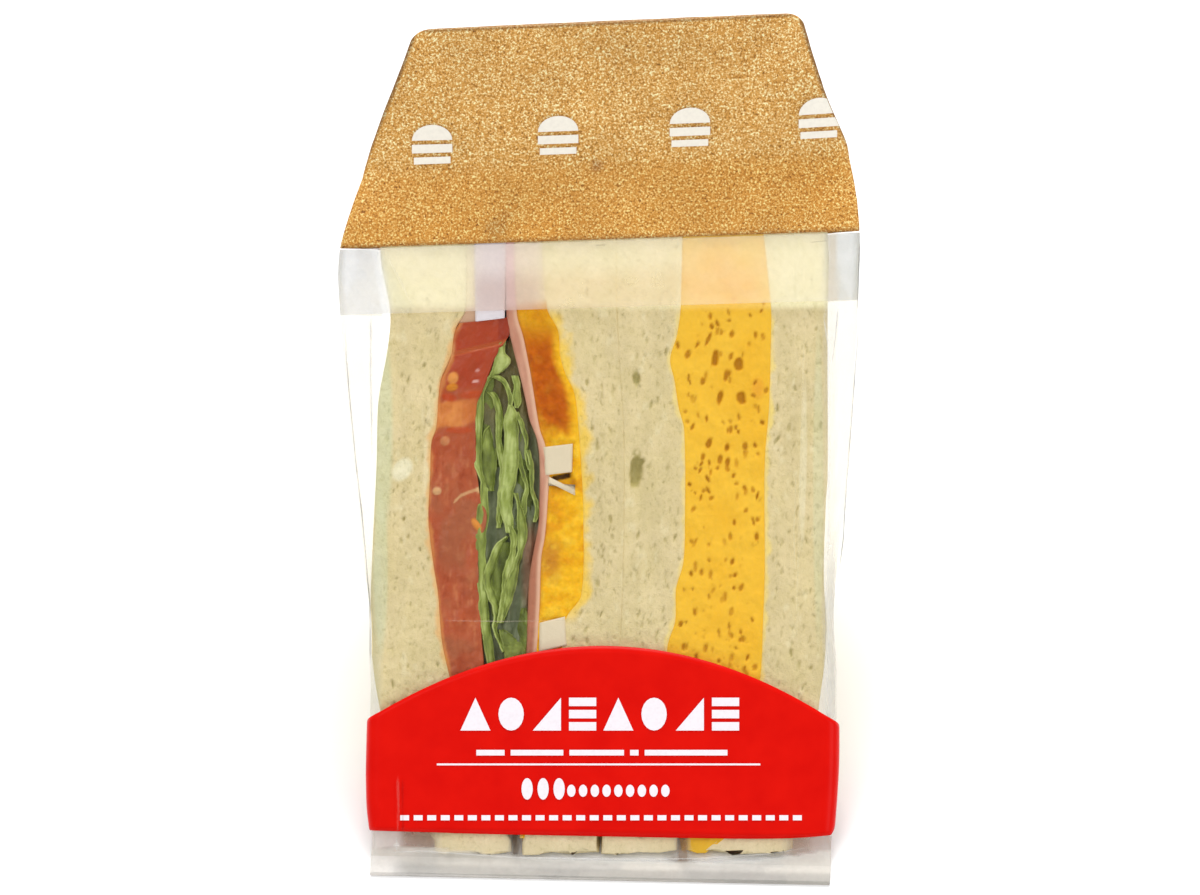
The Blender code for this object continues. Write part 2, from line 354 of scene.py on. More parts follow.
class Tree:
    """A material's nodes, added one line at a time."""

    def __init__(self, name):
        self.material = bpy.data.materials.new(name)
        self.material.use_nodes = True
        self.nodes = self.material.node_tree.nodes
        self.links = self.material.node_tree.links
        self.nodes.clear()

    def set(self, socket, value):
        if isinstance(value, bpy.types.NodeSocket):
            self.links.new(value, socket)
        else:
            socket.default_value = value

    def add(self, kind, **inputs):
        made = self.nodes.new("ShaderNode" + kind)
        for name, value in inputs.items():
            self.set(made.inputs[name.replace("_", " ")], value)
        return made

    def tint(self):
        """The paint on the mesh, as outputs Color and Alpha."""
        made = self.add("Attribute")
        made.attribute_name = "tint"
        return made.outputs

    def noise(self, size, detail=3.0, roughness=0.55, stretch=None):
        """Noise with lumps of this size in millimetres."""
        vector = self.add("TexCoord").outputs["Object"]
        if stretch:
            vector = self.add("Mapping", Vector=vector, Scale=stretch).outputs[0]
        made = self.add("TexNoise", Vector=vector, Scale=1 / (size * MM), Detail=detail, Roughness=roughness)
        return made.outputs[0]

    def ramp(self, value, *stops):
        """A colour for each value, eased between (place, colour) stops."""
        made = self.add("ValToRGB", Fac=value)
        elements = made.color_ramp.elements
        while len(elements) < len(stops):
            elements.new(0.5)
        for element, (place, colour) in zip(elements, stops):
            element.position = place
            element.color = (*[float(v) for v in np.broadcast_to(colour, 3)], 1.0)
        return made.outputs["Color"]

    def blend(self, first, second, share=1.0, kind="MULTIPLY"):
        made = self.add("MixRGB", Fac=share, Color1=first, Color2=second)
        made.blend_type = kind
        return made.outputs[0]

    def times(self, first, second):
        made = self.add("Math")
        made.operation = "MULTIPLY"
        self.set(made.inputs[0], first)
        self.set(made.inputs[1], second)
        return made.outputs[0]

    def mix(self, share, first, second):
        """Two shaders mixed."""
        made = self.add("MixShader", Fac=share)
        self.links.new(first, made.inputs[1])
        self.links.new(second, made.inputs[2])
        return made.outputs[0]

    def bump(self, height, strength, distance):
        return self.add("Bump", Strength=strength, Distance=distance * MM, Height=height).outputs[0]

    def plain(self, colour, rough, gloss=0.5, **more):
        """A shader of one colour, roughness and gloss."""
        more["Specular_IOR_Level"] = gloss
        return self.add("BsdfPrincipled", Base_Color=colour, Roughness=rough, **more).outputs[0]

    def finish(self, shader):
        self.links.new(shader, self.add("OutputMaterial").inputs["Surface"])
        return self.material


def run_lengths(points):
    """Distance along a line of points, at each of them."""
    return np.concatenate([[0], np.cumsum(np.linalg.norm(np.diff(points, axis=0), axis=1))])


def grid_faces(rows, columns, closed=False):
    """Quads of a grid of points. A closed grid joins its last column to its first."""
    index = np.arange(rows * columns).reshape(rows, columns)
    right = np.roll(index, -1, axis=1)
    if not closed:
        index, right = index[:, :-1], right[:, :-1]
    return np.stack([index[:-1], right[:-1], right[1:], index[1:]], -1).reshape(-1, 4).tolist()


def grid_normals(places, closed=False):
    """Outward directions of a grid of places."""
    if closed:
        across = np.roll(places, -1, axis=1) - np.roll(places, 1, axis=1)
    else:
        across = np.gradient(places, axis=1)
    normals = np.cross(across, np.gradient(places, axis=0))
    return normals / np.maximum(np.linalg.norm(normals, axis=-1, keepdims=True), 1e-9)


def add_object(name, data):
    """An object with this data, linked to the scene."""
    made = bpy.data.objects.new(name, data)
    bpy.context.scene.collection.objects.link(made)
    return made


def add_mesh(name, places, faces, look, node, slot, tint=None, turn=True, smooth=True):
    """A piece made from places in millimetres. It rides on the pack and stands for a CAD node."""
    mesh = bpy.data.meshes.new(name)
    places = np.reshape(places, (-1, 3))
    mesh.from_pydata(((places + SHIFT) * MM).tolist(), [], faces)
    if tint is not None:
        tint = np.reshape(tint, (len(places), -1))
        colours = np.ones((len(places), 4))
        colours[:, : tint.shape[1]] = np.clip(tint, 0, 1)
        mesh.attributes.new("tint", "FLOAT_COLOR", "POINT").data.foreach_set("color", colours.ravel())
    if turn:
        shape = bmesh.new()
        shape.from_mesh(mesh)
        bmesh.ops.recalc_face_normals(shape, faces=shape.faces)
        shape.to_mesh(mesh)
        shape.free()
    mesh.materials.append(look)
    if smooth:
        mesh.shade_smooth()
    made = add_object(name, mesh)
    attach(made, "root")
    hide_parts(node)
    return made


def add_sheets(name, sheets, look, slot):
    """One piece made of several sheets, each a grid of places with its paint."""
    faces, count = [], 0
    for grid, _ in sheets:
        faces += [[i + count for i in quad] for quad in grid_faces(*grid.shape[:2])]
        count += grid.shape[0] * grid.shape[1]
    places, tint = [
        np.concatenate([grid.reshape(-1, grid.shape[-1]) for grid in grids]) for grids in zip(*sheets)
    ]
    return add_mesh(name, places, faces, look, "film_bag", slot, tint, turn=False)


def thicken(piece, thick, offset):
    """Gives a sheet its thickness: outwards, inwards or half each way."""
    sheet = piece.modifiers.new("sheet", "SOLIDIFY")
    sheet.thickness = thick * MM
    sheet.offset = offset


# Finishes

WHITE = (1, 1, 1, 1)


def film_look():
    """Film: as milky as its paint's alpha says, otherwise clear, with gloss at glancing angles."""
    tree = Tree("clear_film")
    normal = tree.bump(tree.noise(2.2), 0.25, 0.15)
    paint = tree.tint()
    colour = paint["Color"]
    back_lit = tree.add("BsdfTranslucent", Color=colour, Normal=normal).outputs[0]
    milk = tree.mix(0.4, tree.plain(colour, 0.45, 0.2, Normal=normal), back_lit)
    uneven = tree.ramp(tree.noise(4, detail=4), (0.3, 0.82), (0.7, 1.12))
    clear = tree.add("BsdfTransparent", Color=WHITE).outputs[0]
    body = tree.mix(tree.times(paint["Alpha"], uneven), clear, milk)
    gloss = tree.add("BsdfGlossy", Color=WHITE, Roughness=0.12, Normal=normal).outputs[0]
    share = tree.times(tree.add("Fresnel", IOR=1.16, Normal=normal).outputs[0], 0.3)
    return tree.finish(tree.mix(share, body, gloss))


def kraft_look():
    """Brown paper with a fine sparkle of light and dark flecks."""
    tree = Tree("kraft_paper")
    fleck = tree.noise(0.46, detail=2, roughness=0.8)
    dark, light = (0.30, rgb(108, 64, 16)), (0.64, rgb(255, 250, 200))
    speckle = tree.ramp(fleck, dark, (0.42, rgb(199, 140, 58)), (0.54, rgb(223, 166, 82)), light)
    broad = tree.ramp(tree.noise(14), (0.3, 0.90), (0.7, 1.06))
    colour = tree.blend(tree.blend(speckle, broad), tree.tint()["Color"])
    return tree.finish(tree.plain(colour, 0.5, 0.35, Normal=tree.bump(fleck, 0.5, 0.12)))


def red_look():
    """Glossy red printed film."""
    tree = Tree("red_print")
    fine = tree.noise(6, detail=2)
    colour = tree.ramp(fine, (0.3, rgb(216, 8, 0)), (0.7, rgb(224, 14, 2)))
    return tree.finish(tree.plain(colour, 0.3, 0.08, Normal=tree.bump(fine, 0.12, 0.3)))


def print_look(name, colour):
    """Flat printed ink with a slight unevenness."""
    tree = Tree(name)
    worn = tree.ramp(tree.noise(0.8, detail=2), (0.3, colour * 0.94), (0.6, colour))
    return tree.finish(tree.plain(worn, 0.45))


def crumb_look():
    """Soft white bread: tiny pores in a creamy crumb."""
    tree = Tree("bread_crumb")
    pores = tree.noise(0.95, roughness=0.6, stretch=(1.25, 0.9, 0.9))
    # Darker in the pores, which are low in the bump, and lighter on the crumb between: painted shade and
    # painted light.
    shade = tree.ramp(pores, (0.28, (0.87, 0.86, 0.80)), (0.42, 1.0), (0.70, (1.06, 1.06, 1.10)))
    broad = tree.ramp(tree.noise(6, detail=4), (0.3, (0.95, 0.95, 0.90)), (0.7, (1.04, 1.04, 1.07)))
    colour = tree.blend(tree.blend(tree.tint()["Color"], shade), broad)
    height = tree.blend(pores, tree.noise(0.3, detail=2), 0.35, "MIX")
    return tree.finish(tree.plain(colour, 0.85, 0.2, Normal=tree.bump(height, 0.7, 0.5)))


def food_look(name, grain, rough, contrast, bump, gloss=0.12):
    """A filling: its painted colour, broken up by grain of this size."""
    tree = Tree(name)
    lumps = tree.noise(grain, detail=4, roughness=0.6)
    shade = tree.ramp(lumps, (0.3, 1 - contrast), (0.7, 1 + contrast * 0.5))
    normal = tree.bump(lumps, bump, grain * 0.5)
    colour = tree.blend(tree.tint()["Color"], shade)
    return tree.finish(tree.plain(colour, rough, gloss, Normal=normal))


# Bag

HEM_MILK = rgb(240, 236, 228)
# Where the milky hem ends above, as (across, height)
HEM_TOP = ((-48.7, 1.8), (-38, 2.4), (-18, 0.9), (10, 0.5), (22, 0.7), (36, 1.7), (48.9, 3.8))
# Milky folds beside the bread: left end, right end and soft edge, then lowest, highest and soft edge
RIGHT_FOLD = ((47.9, 50.3, 0.5), (30, BAND_FROM, 2))
LEFT_FOLD = ((-49.6, -46.4, 0.8), (30, 66, 4))
# Shaded gaps between the slices under the label: left, right, colour
LOW_GAPS = ((-18.9, -16.9, rgb(96, 78, 60)), (16.5, 19.0, rgb(152, 130, 112)))


def body_paint(across, height):
    """The clear part: milky where the film is folded over beside the bread and at its lower corners."""
    folds = (RIGHT_FOLD, LEFT_FOLD)
    right_fold, left_fold = [within(across, *sides) * within(height, *ends) for sides, ends in folds]
    corners = np.maximum(fall(across, -36, -33), step_up(across, 38.5, 41.5))
    corners = corners * fall(height, LABEL_FROM, LABEL_FROM + 2.5)
    outer = np.maximum(fall(across, -43.4, -41), 0.4 * step_up(across, 43.5, 46))
    colour = painted(
        rgb(226, 230, 232),
        (rgb(212, 213, 212), right_fold),
        (rgb(218, 226, 208), left_fold),
        (mixed(rgb(172, 144, 126), rgb(250, 242, 236), outer), corners),
    )
    cover = 0.004 + 0.08 * step_up(abs(across), 47, 49) * step_up(height, 98, 106)
    cover = cover + right_fold * (0.22 + 0.3 * fall(height, 60, 72)) + 0.24 * left_fold
    cover = np.maximum(cover, 0.5 * corners)
    for low, high, shade in LOW_GAPS:
        gap = within(across, low, high, 0.5) * fall(height, LABEL_FROM, LABEL_FROM + 1.5)
        colour = mixed(colour, shade, gap)
        cover = np.maximum(cover, 0.6 * gap)
    below = fall(height - eased(HEM_TOP, across), -0.3, 0.1)
    return mixed(colour, HEM_MILK, below), np.maximum(cover * (1 - below), 0.62 * below)


def band_paint(across, height):
    """The frosted band: greyer in both ears, duller low in the middle, and brighter at its upper left, where
    more milk is painted as light against the header's shade.
    """
    rise = height - BAND_FROM - 0.5
    lower = fall(height, 123, 128)
    haze = within(across, -26.8, -12.5, 1.6)
    strip = within(across, 48.4, 50.6, 0.4)
    left_ear = fall(across + 0.16 * rise, -45.6, -43.6)
    right_ear = step_up(across, 47.4, 48.6)
    colour = painted(
        rgb(255, 251, 240),
        (rgb(238, 238, 230), fall(across + 0.5 * rise, -41, -39)),
        (rgb(240, 218, 190), within(across, -13, 17.5, 2) * (0.4 + 0.6 * lower)),
        (mixed(rgb(250, 238, 230), rgb(228, 206, 196), lower), 0.9 * haze),
        (rgb(228, 231, 235), left_ear),
        (mixed(rgb(206, 210, 210), rgb(204, 196, 180), strip), right_ear),
    )
    # More milk at the upper left: painted light against the header's shade.
    cover = 0.36 + 0.14 * (1 - lower) * fall(across, -30, -24)
    return colour, cover + 0.26 * np.maximum(left_ear, right_ear) + 0.25 * haze


def hem_paint(across, height):
    """The sealed hem: duller low down, whiter at its left end."""
    colour = mixed(rgb(208, 205, 198), HEM_MILK, step_up(height, -2.4, -0.8))
    return mixed(colour, rgb(255, 252, 248), 0.8 * fall(across, -45, -40)), 0.7


# The long crease down the right: across, half width, depth, heights between which it grows
CREASE_ACROSS = 42.6
CREASE_HALF = 0.45
CREASE_DEEP = 0.35
CREASE_FROM = (46, 60)


def film_part(name, heights, look, paint, round_cover, wrinkle=1.0, cap_low=False):
    """A length of the bag's skin, slightly wrinkled, with milky places painted on its front."""
    outline = outlines(heights, front=60, side=18, back=22)
    places = skin_places(heights, outline)
    across, inward = np.moveaxis(outline, -1, 0)
    heights = np.broadcast_to(heights[:, None], across.shape)
    on_front = fall(inward, 0.2, 2.0)
    waves = layered_noise(places, 11, 5) * 0.12 + noise(places, 3.5, 9) * 0.03
    sides = (1 - on_front) * layered_noise(places * (1, 0.5, 1), 8, 14) * 0.3
    crease = CREASE_DEEP * np.exp(-(((across - CREASE_ACROSS) / CREASE_HALF) ** 2))
    crease = crease * on_front * step_up(heights, *CREASE_FROM)
    moved = (waves + sides - crease) * wrinkle * np.maximum(on_front, 0.4)
    places = places - grid_normals(places, closed=True) * moved[..., None]
    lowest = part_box("film_bag")[0][2] / MM - SHIFT[2]
    places[..., 2] = np.maximum(places[..., 2], lowest)
    colour, cover = paint(across, heights)
    beyond = step_up(inward, 2.0, 4.5)
    cover = cover * (1 - beyond) + np.minimum(cover, round_cover) * beyond
    faces = grid_faces(*across.shape, closed=True)
    if cap_low:
        faces.append(list(range(across.shape[1])))
    tint = np.concatenate([colour, cover[..., None]], -1)
    add_mesh(name, places, faces, look, "film_bag", "film", tint)


# Creases and edges of the film, with painted highlights and painted shade on it and on the label:
# (across, height) points, width, colour, cover, distance off the skin
# Grey edge lines are painted shade where the film turns away at its sides.
EDGE_SHADE = rgb(92, 96, 98)
FOLD_EDGE = rgb(176, 180, 182)
# A pale cream line is a painted highlight along the crease down the right.
CREASE_HIGHLIGHT = rgb(246, 238, 206)
SPECK = rgb(120, 116, 104)
# Near-white lines and dots are painted highlights on the hem and below the label.
WHITE_HIGHLIGHT = rgb(252, 252, 250)
FOLDS_AND_PAINTED_LIGHT = (
    # Painted shade along the film's turned left and right edges.
    (((-54.1, 113), (-53.9, 106.8), (-52.0, 86.6), (-50.7, 74.9), (-48.9, 55.7), (-48.7, 38)),
     0.4, EDGE_SHADE, 0.8, 0.3),
    (((54.9, 116), (54.8, 110), (53.1, 87.7), (51.8, 68.5), (50.7, 60)), 0.4, EDGE_SHADE, 0.8, 0.3),
    (((55.3, 132), (55.1, 124), (54.8, 117)), 0.45, EDGE_SHADE, 0.7, 0.6),
    (((-48.6, 117), (-48.7, 104), (-48.4, 86)), 0.5, FOLD_EDGE, 0.6, 0.3),
    (((-45.8, 130), (-43.6, 126), (-39.8, 118.2)), 0.6, rgb(240, 236, 222), 0.5, 0.4),
    (((-42.4, 118.2), (-41.2, 116.2), (-40.4, 118.2)), 0.4, rgb(240, 238, 214), 0.5, 0.4),
    # Painted highlights along and beside the crease down the right.
    (((43.6, 113), (43.2, 100), (42.7, 81), (41.9, 47)), 0.7, CREASE_HIGHLIGHT, 0.4, 0.3),
    (((41.9, 84), (41.4, 72), (41.6, 62)), 0.5, CREASE_HIGHLIGHT, 0.4, 0.3),
    # Painted highlight on the crumpled film beside the bread's right edge.
    (((48.3, 118), (47.7, 115.6), (48.6, 109.5), (48.9, 86), (48.7, 64)),
     0.6, rgb(238, 239, 238), 0.75, 0.3),
    (((50.8, 118), (50.2, 112), (49.5, 106)), 0.4, FOLD_EDGE, 0.6, 0.3),
    (((-34, 51.4), (-20, 51.2), (-6, 51.5)), 0.3, rgb(240, 222, 206), 0.4, 0.3),
    (((-46.6, 130.6), (-44.6, 130.9)), 0.25, SPECK, 0.8, 0.5),
    (((-1.2, 131.2), (1.6, 131.3)), 0.25, SPECK, 0.8, 0.5),
    (((44.4, 131.8), (49.0, 132.2)), 0.2, SPECK, 0.7, 0.5),
    # Painted highlight along the hem's upper edge, and a glint at its left end.
    (HEM_TOP, 0.4, WHITE_HIGHLIGHT, 0.6, 0.3),
    (((-43.9, 3.6), (-42.4, 3.5)), 1.1, WHITE_HIGHLIGHT, 0.8, 0.35),
    # Painted highlight and painted shade down the bent left end of the label.
    (((-43, 18.4), (-42.8, 12), (-42.9, 6)), 0.8, rgb(240, 130, 120), 0.45, 1.05),
    (((-41.9, 18), (-41.8, 6)), 0.7, rgb(150, 12, 8), 0.35, 1.05),
    # Painted highlight below the label's left end.
    (((-43.2, 5.3), (-43.1, 2.0)), 0.5, WHITE_HIGHLIGHT, 0.7, 0.3),
)
RIBBON_STEP = 1.2
# Edges and middle of a ribbon: side, share of its cover
RIBBON_ROWS = ((-0.5, 0.25), (0, 1), (0.5, 0.25))


def make_folds_and_painted_light(look):
    """Thin ribbons on the film's front, folds and edges with painted highlights and painted shade among
    them, faded out at their ends.
    """
    sheets = []
    for seed, (points, width, colour, cover, out) in enumerate(FOLDS_AND_PAINTED_LIGHT):
        points = np.array(points, dtype=float)
        runs = run_lengths(points)
        along = np.linspace(0, runs[-1], max(int(runs[-1] / RIBBON_STEP), 6))
        middle = np.stack([np.interp(along, runs, axis) for axis in points.T], -1)
        middle[:, 0] += 0.07 * noise(middle, 5, 500 + seed)
        direction = np.gradient(middle, axis=0)
        direction /= np.linalg.norm(direction, axis=1, keepdims=True)
        sideways = np.stack([direction[:, 1], -direction[:, 0]], -1)
        to_end = np.minimum(along, runs[-1] - along) / runs[-1]
        faded = step_up(to_end, -0.02, 0.12) * (0.75 + 0.25 * noise(middle, 3, 520 + seed))
        rows, paints = [], []
        for side, share in RIBBON_ROWS:
            edge = middle + sideways * (side * width * (0.4 + 0.6 * faded))[:, None]
            rows.append(off_path(*edge.T, -out))
            alpha = (cover * faded * share)[:, None]
            paints.append(np.concatenate([np.tile(colour, (len(along), 1)), alpha], -1))
        sheets.append((np.array(rows), np.array(paints)))
    add_sheets("film_folds_and_painted_light", sheets, look, "film")


def make_film():
    look = film_look()
    film_part("film_hem", np.linspace(-HEM, HEM_TO, 14), look, hem_paint, 0.3, 0.3, cap_low=True)
    film_part("film_body", np.linspace(HEM_TO, BAND_FROM, 200), look, body_paint, 0.01)
    film_part("film_band", np.linspace(BAND_FROM, HEADER_FROM - GAP / 2, 30), look, band_paint, 0.3, 0.6)
    make_folds_and_painted_light(look)


# Header

# Dull smudges: across, height, half sizes, tilt, tint, strength
HEADER_SMUDGES = (
    (-0.6, 148.2, 0.9, 1.7, 0.0, (0.62, 0.52, 0.50), 0.7),
    (-22.2, 135.6, 2.4, 2.2, 0.0, (0.70, 0.66, 0.60), 0.5),
    (-20.0, 138.4, 1.4, 1.4, 0.0, (0.74, 0.68, 0.60), 0.4),
)


def header_front(across, height, inward):
    """Places at a distance inward from the header's front."""
    return off_path(across, slanted(across, height), depth(height) / 2 * pinch(across, height) + inward)


def make_header():
    straight = np.linspace(HEADER_FROM + GAP / 2, TOP - TOP_CORNER, 70)[:-1]
    turning = TOP - TOP_CORNER + TOP_CORNER * np.sin(np.radians(np.linspace(0, 84, 8)))
    heights = np.concatenate([straight, turning])
    outline = outlines(heights, front=44, side=8, back=44)
    places = skin_places(heights, outline)
    moved = layered_noise(places, 16, 21) * 0.18 + noise(places, 5, 24) * 0.05
    places = places - grid_normals(places, closed=True) * abs(moved)[..., None]
    across, heights = outline[..., 0], heights[:, None]
    left, right = eased(FRONT_EDGES, heights, 1), eased(FRONT_EDGES, heights, 2)
    patchy = 0.8 + 0.2 * layered_noise(places * (0.4, 1, 1), 12, 27)
    # Darker and browner below the bend, partly painted shade of the face that turns down there.
    tint = mixed((1.0, 1.0, 0.96), (0.93, 0.79, 0.45), fall(heights, FACE - 4, FACE + 1) * patchy)
    tint = painted(
        spots(across, heights, tint, HEADER_SMUDGES),
        # Painted shade: dark lines along the side edges, the lower edge and the top.
        ((0.30, 0.25, 0.20), 0.9 * fall(np.minimum(across - left, right - across), 0.35, 1.1)),
        ((0.55, 0.45, 0.34), 0.8 * fall(heights, HEADER_FROM + 0.3, HEADER_FROM + 1.2)),
        ((0.45, 0.38, 0.30), 0.8 * fall(TOP - heights, 0.2, 0.7)),
    )
    rows, columns = across.shape
    faces = grid_faces(rows, columns, closed=True)
    faces.append(list(range((rows - 1) * columns, rows * columns)))
    made = add_mesh("header_paper", places, faces, kraft_look(), "kraft_header", "kraft", tint)
    thicken(made, PAPER_THICK, -1)


# Label

# Distances from the middle between which the label goes round the pack's corner
CORNER_FROM, CORNER_TO = 44, 56
LABEL_ROWS = 26
LOW_CORNER_RISE = 1.3
STEP_AHEAD = 0.3


def around(heights, girth, out):
    """Places off the bag's skin, at a distance round it from the middle of the front."""
    side = 1 if girth >= 0 else -1
    rings = outlines(heights, front=40, side=30, corner=10)
    if side < 0:
        rings = np.roll(rings[:, ::-1], 1, axis=1)
    places = []
    for ring in rings[:, : rings.shape[1] // 2]:
        runs = run_lengths(ring)
        reach = (abs(girth), abs(girth) + STEP_AHEAD)
        place, ahead = np.stack([np.interp(reach, runs, axis) for axis in ring.T], -1)
        along = (ahead - place) / np.linalg.norm(ahead - place)
        places.append(place + np.array([along[1], -along[0]]) * side * out)
    across, inward = np.array(places).T
    return off_path(across, slanted(across, heights), inward)


def label_edges(girth):
    """Lower and upper edge of the label at distances from its middle."""
    reach = girth / ARCH_REACH
    rise = np.minimum(LOW_CORNER_RISE * np.clip(reach, -0.7, 1) ** 4 * reach**2, LOW_CORNER_RISE)
    low = LABEL_FROM + rise + np.maximum(abs(girth) - ARCH_REACH + SIDE_RISE / 3, 0)
    return low, np.maximum(LABEL_TO - LABEL_SAG * reach**2, low + 1)


def make_label():
    stops = ((0, CORNER_FROM, 44), (CORNER_FROM, CORNER_TO, 33), (CORNER_TO, ARCH_REACH + LABEL_FLAP, 7))
    half = np.concatenate([np.linspace(start, end, parts + 1)[1:] for start, end, parts in stops])
    girths = np.concatenate([-half[::-1], [0], half])
    columns = []
    for girth, low, high in zip(girths, *label_edges(girths)):
        columns.append(around(np.linspace(low, high, LABEL_ROWS), girth, GAP))
    places = np.stack(columns, axis=1)
    places = places + grid_normals(places) * (layered_noise(places, 15, 31) * 0.05)[..., None]
    faces = grid_faces(*places.shape[:2])
    made = add_mesh("label_film", places, faces, red_look(), "front_label", "label", turn=False)
    thicken(made, LABEL_THICK, 1)


def flat_shapes(name, shapes, look, surface, out, node, slot):
    """Printed shapes: each is an outline of (across, height) points, filled and laid off the surface."""
    faces, count = [], 0
    for shape in shapes:
        faces.append(list(range(count, count + len(shape))))
        count += len(shape)
    places = surface(*np.concatenate(shapes).T, -out)
    add_mesh(name, places, faces, look, node, slot, turn=False, smooth=False)


def oval(across, height, half_across, half_height):
    """Outline of an oval."""
    angles = np.linspace(0, 2 * math.pi, 20, endpoint=False)
    return np.stack([across + half_across * np.cos(angles), height + half_height * np.sin(angles)], 1)


def bar(left, right, low, high):
    """Outline of a bar."""
    return np.array([(left, low), (right, low), (right, high), (left, high)])


# Large signs on the label: foot, top, middle of the first, step to the next
SIGN_LOW, SIGN_HIGH = 28.0, 35.0
SIGNS_FROM, SIGN_STEP = -26.4, 7.6
# Row of bars above the rule: left end, lengths, space between
BARS_FROM = -26.2
BAR_LENGTHS = (6.0, 11.2, 11.6, 1.8, 17.6)
BAR_SPACE = 1.3


def make_label_print():
    """White bars, ovals and triangles in rows on the label."""
    signs = (
        [np.array([(-3.2, SIGN_LOW), (3.2, SIGN_LOW), (0, SIGN_HIGH)])],
        [oval(0, (SIGN_LOW + SIGN_HIGH) / 2, 2.7, 3.5)],
        [np.array([(-3.0, SIGN_LOW), (3.0, SIGN_LOW), (3.0, SIGN_HIGH)])],
        [bar(-2.9, 2.9, SIGN_LOW + rise, SIGN_LOW + rise + 1.8) for rise in (0, 2.6, 5.2)],
    )
    shapes = [bar(-34.6, 34.2, 20.6, 21.0)]
    for i in range(8):
        shapes += [shape + (SIGNS_FROM + i * SIGN_STEP, 0) for shape in signs[i % 4]]
    start = BARS_FROM
    for length in BAR_LENGTHS:
        shapes.append(bar(start, start + length, 22.7, 23.9))
        start += length + BAR_SPACE
    shapes += [oval(-15.4 + i * 3.4, 15.6, 1.2, 2.3) for i in range(3)]
    shapes += [oval(-6.0 + i * 2.5, 15.2, 0.9, 1.3) for i in range(9)]
    shapes += [bar(-42.4 + i * 2.88, -40.5 + i * 2.88, 8.9, 10.0) for i in range(30)]
    white = print_look("white_ink", rgb(248, 240, 246))
    flat_shapes("label_print", shapes, white, inside, GAP + LABEL_THICK + INK_OFF, "front_label", "label")


# Half width and height of the header's marks' tops, and the middles of the marks: across, height
BUN_HALF, BUN_HIGH = 4.3, 3.5
HEADER_MARKS = ((-35.6, 154.2), (-8.8, 155.3), (19.2, 156.0), (46.6, 156.6))


def make_header_print():
    """Four plain marks of a cut sandwich on the header."""
    angles = np.linspace(0, math.pi, 15)
    bun = np.stack([BUN_HALF * np.cos(angles), 0.9 + BUN_HIGH * np.sin(angles)], 1)
    mark = (bun, bar(-BUN_HALF, BUN_HALF, -1.9, 0.0), bar(-3.9, 3.9, -4.3, -2.8))
    shapes = [shape + place for place in HEADER_MARKS for shape in mark]
    for shape in shapes:
        shape[:, 0] = np.minimum(shape[:, 0], eased(FRONT_EDGES, shape[:, 1], 2) - 0.4)
    cream = print_look("cream_ink", rgb(250, 244, 230))
    flat_shapes("header_print", shapes, cream, header_front, 0.3, "kraft_header", "kraft")


# Slices

SIDE_PARTS = 14
PIT_TILT = 0.25


def side_place(edge, height, inward):
    """Across place of a slice's side: its front edge, squeezed towards the outer edge behind."""
    rows, outer = edge
    t = np.clip(inward / depth(height), 0, 1)
    place = eased(rows, height) * (1 - t**2) + np.interp(height, CLOSING_HEIGHTS, outer) * t**2
    share = 1 + (eased(BACK_SHARES, height) - 1) * t
    bow = eased(SIDE_BOWS, height) * np.minimum(depth(height) / FULL_BOW_DEPTH, 1) * np.sin(np.pi * t)
    low = eased(FRONT_EDGES, height, 1) * share - bow + SIDE_ROOM
    high = eased(FRONT_EDGES, height, 2) * share + bow - SIDE_ROOM
    return np.clip(place, low, high)


def face_places(across, height):
    """Across and height as arrays of one shape, and both as pairs."""
    across, height = np.broadcast_arrays(across, height)
    return across, height, np.stack([across, height], -1)


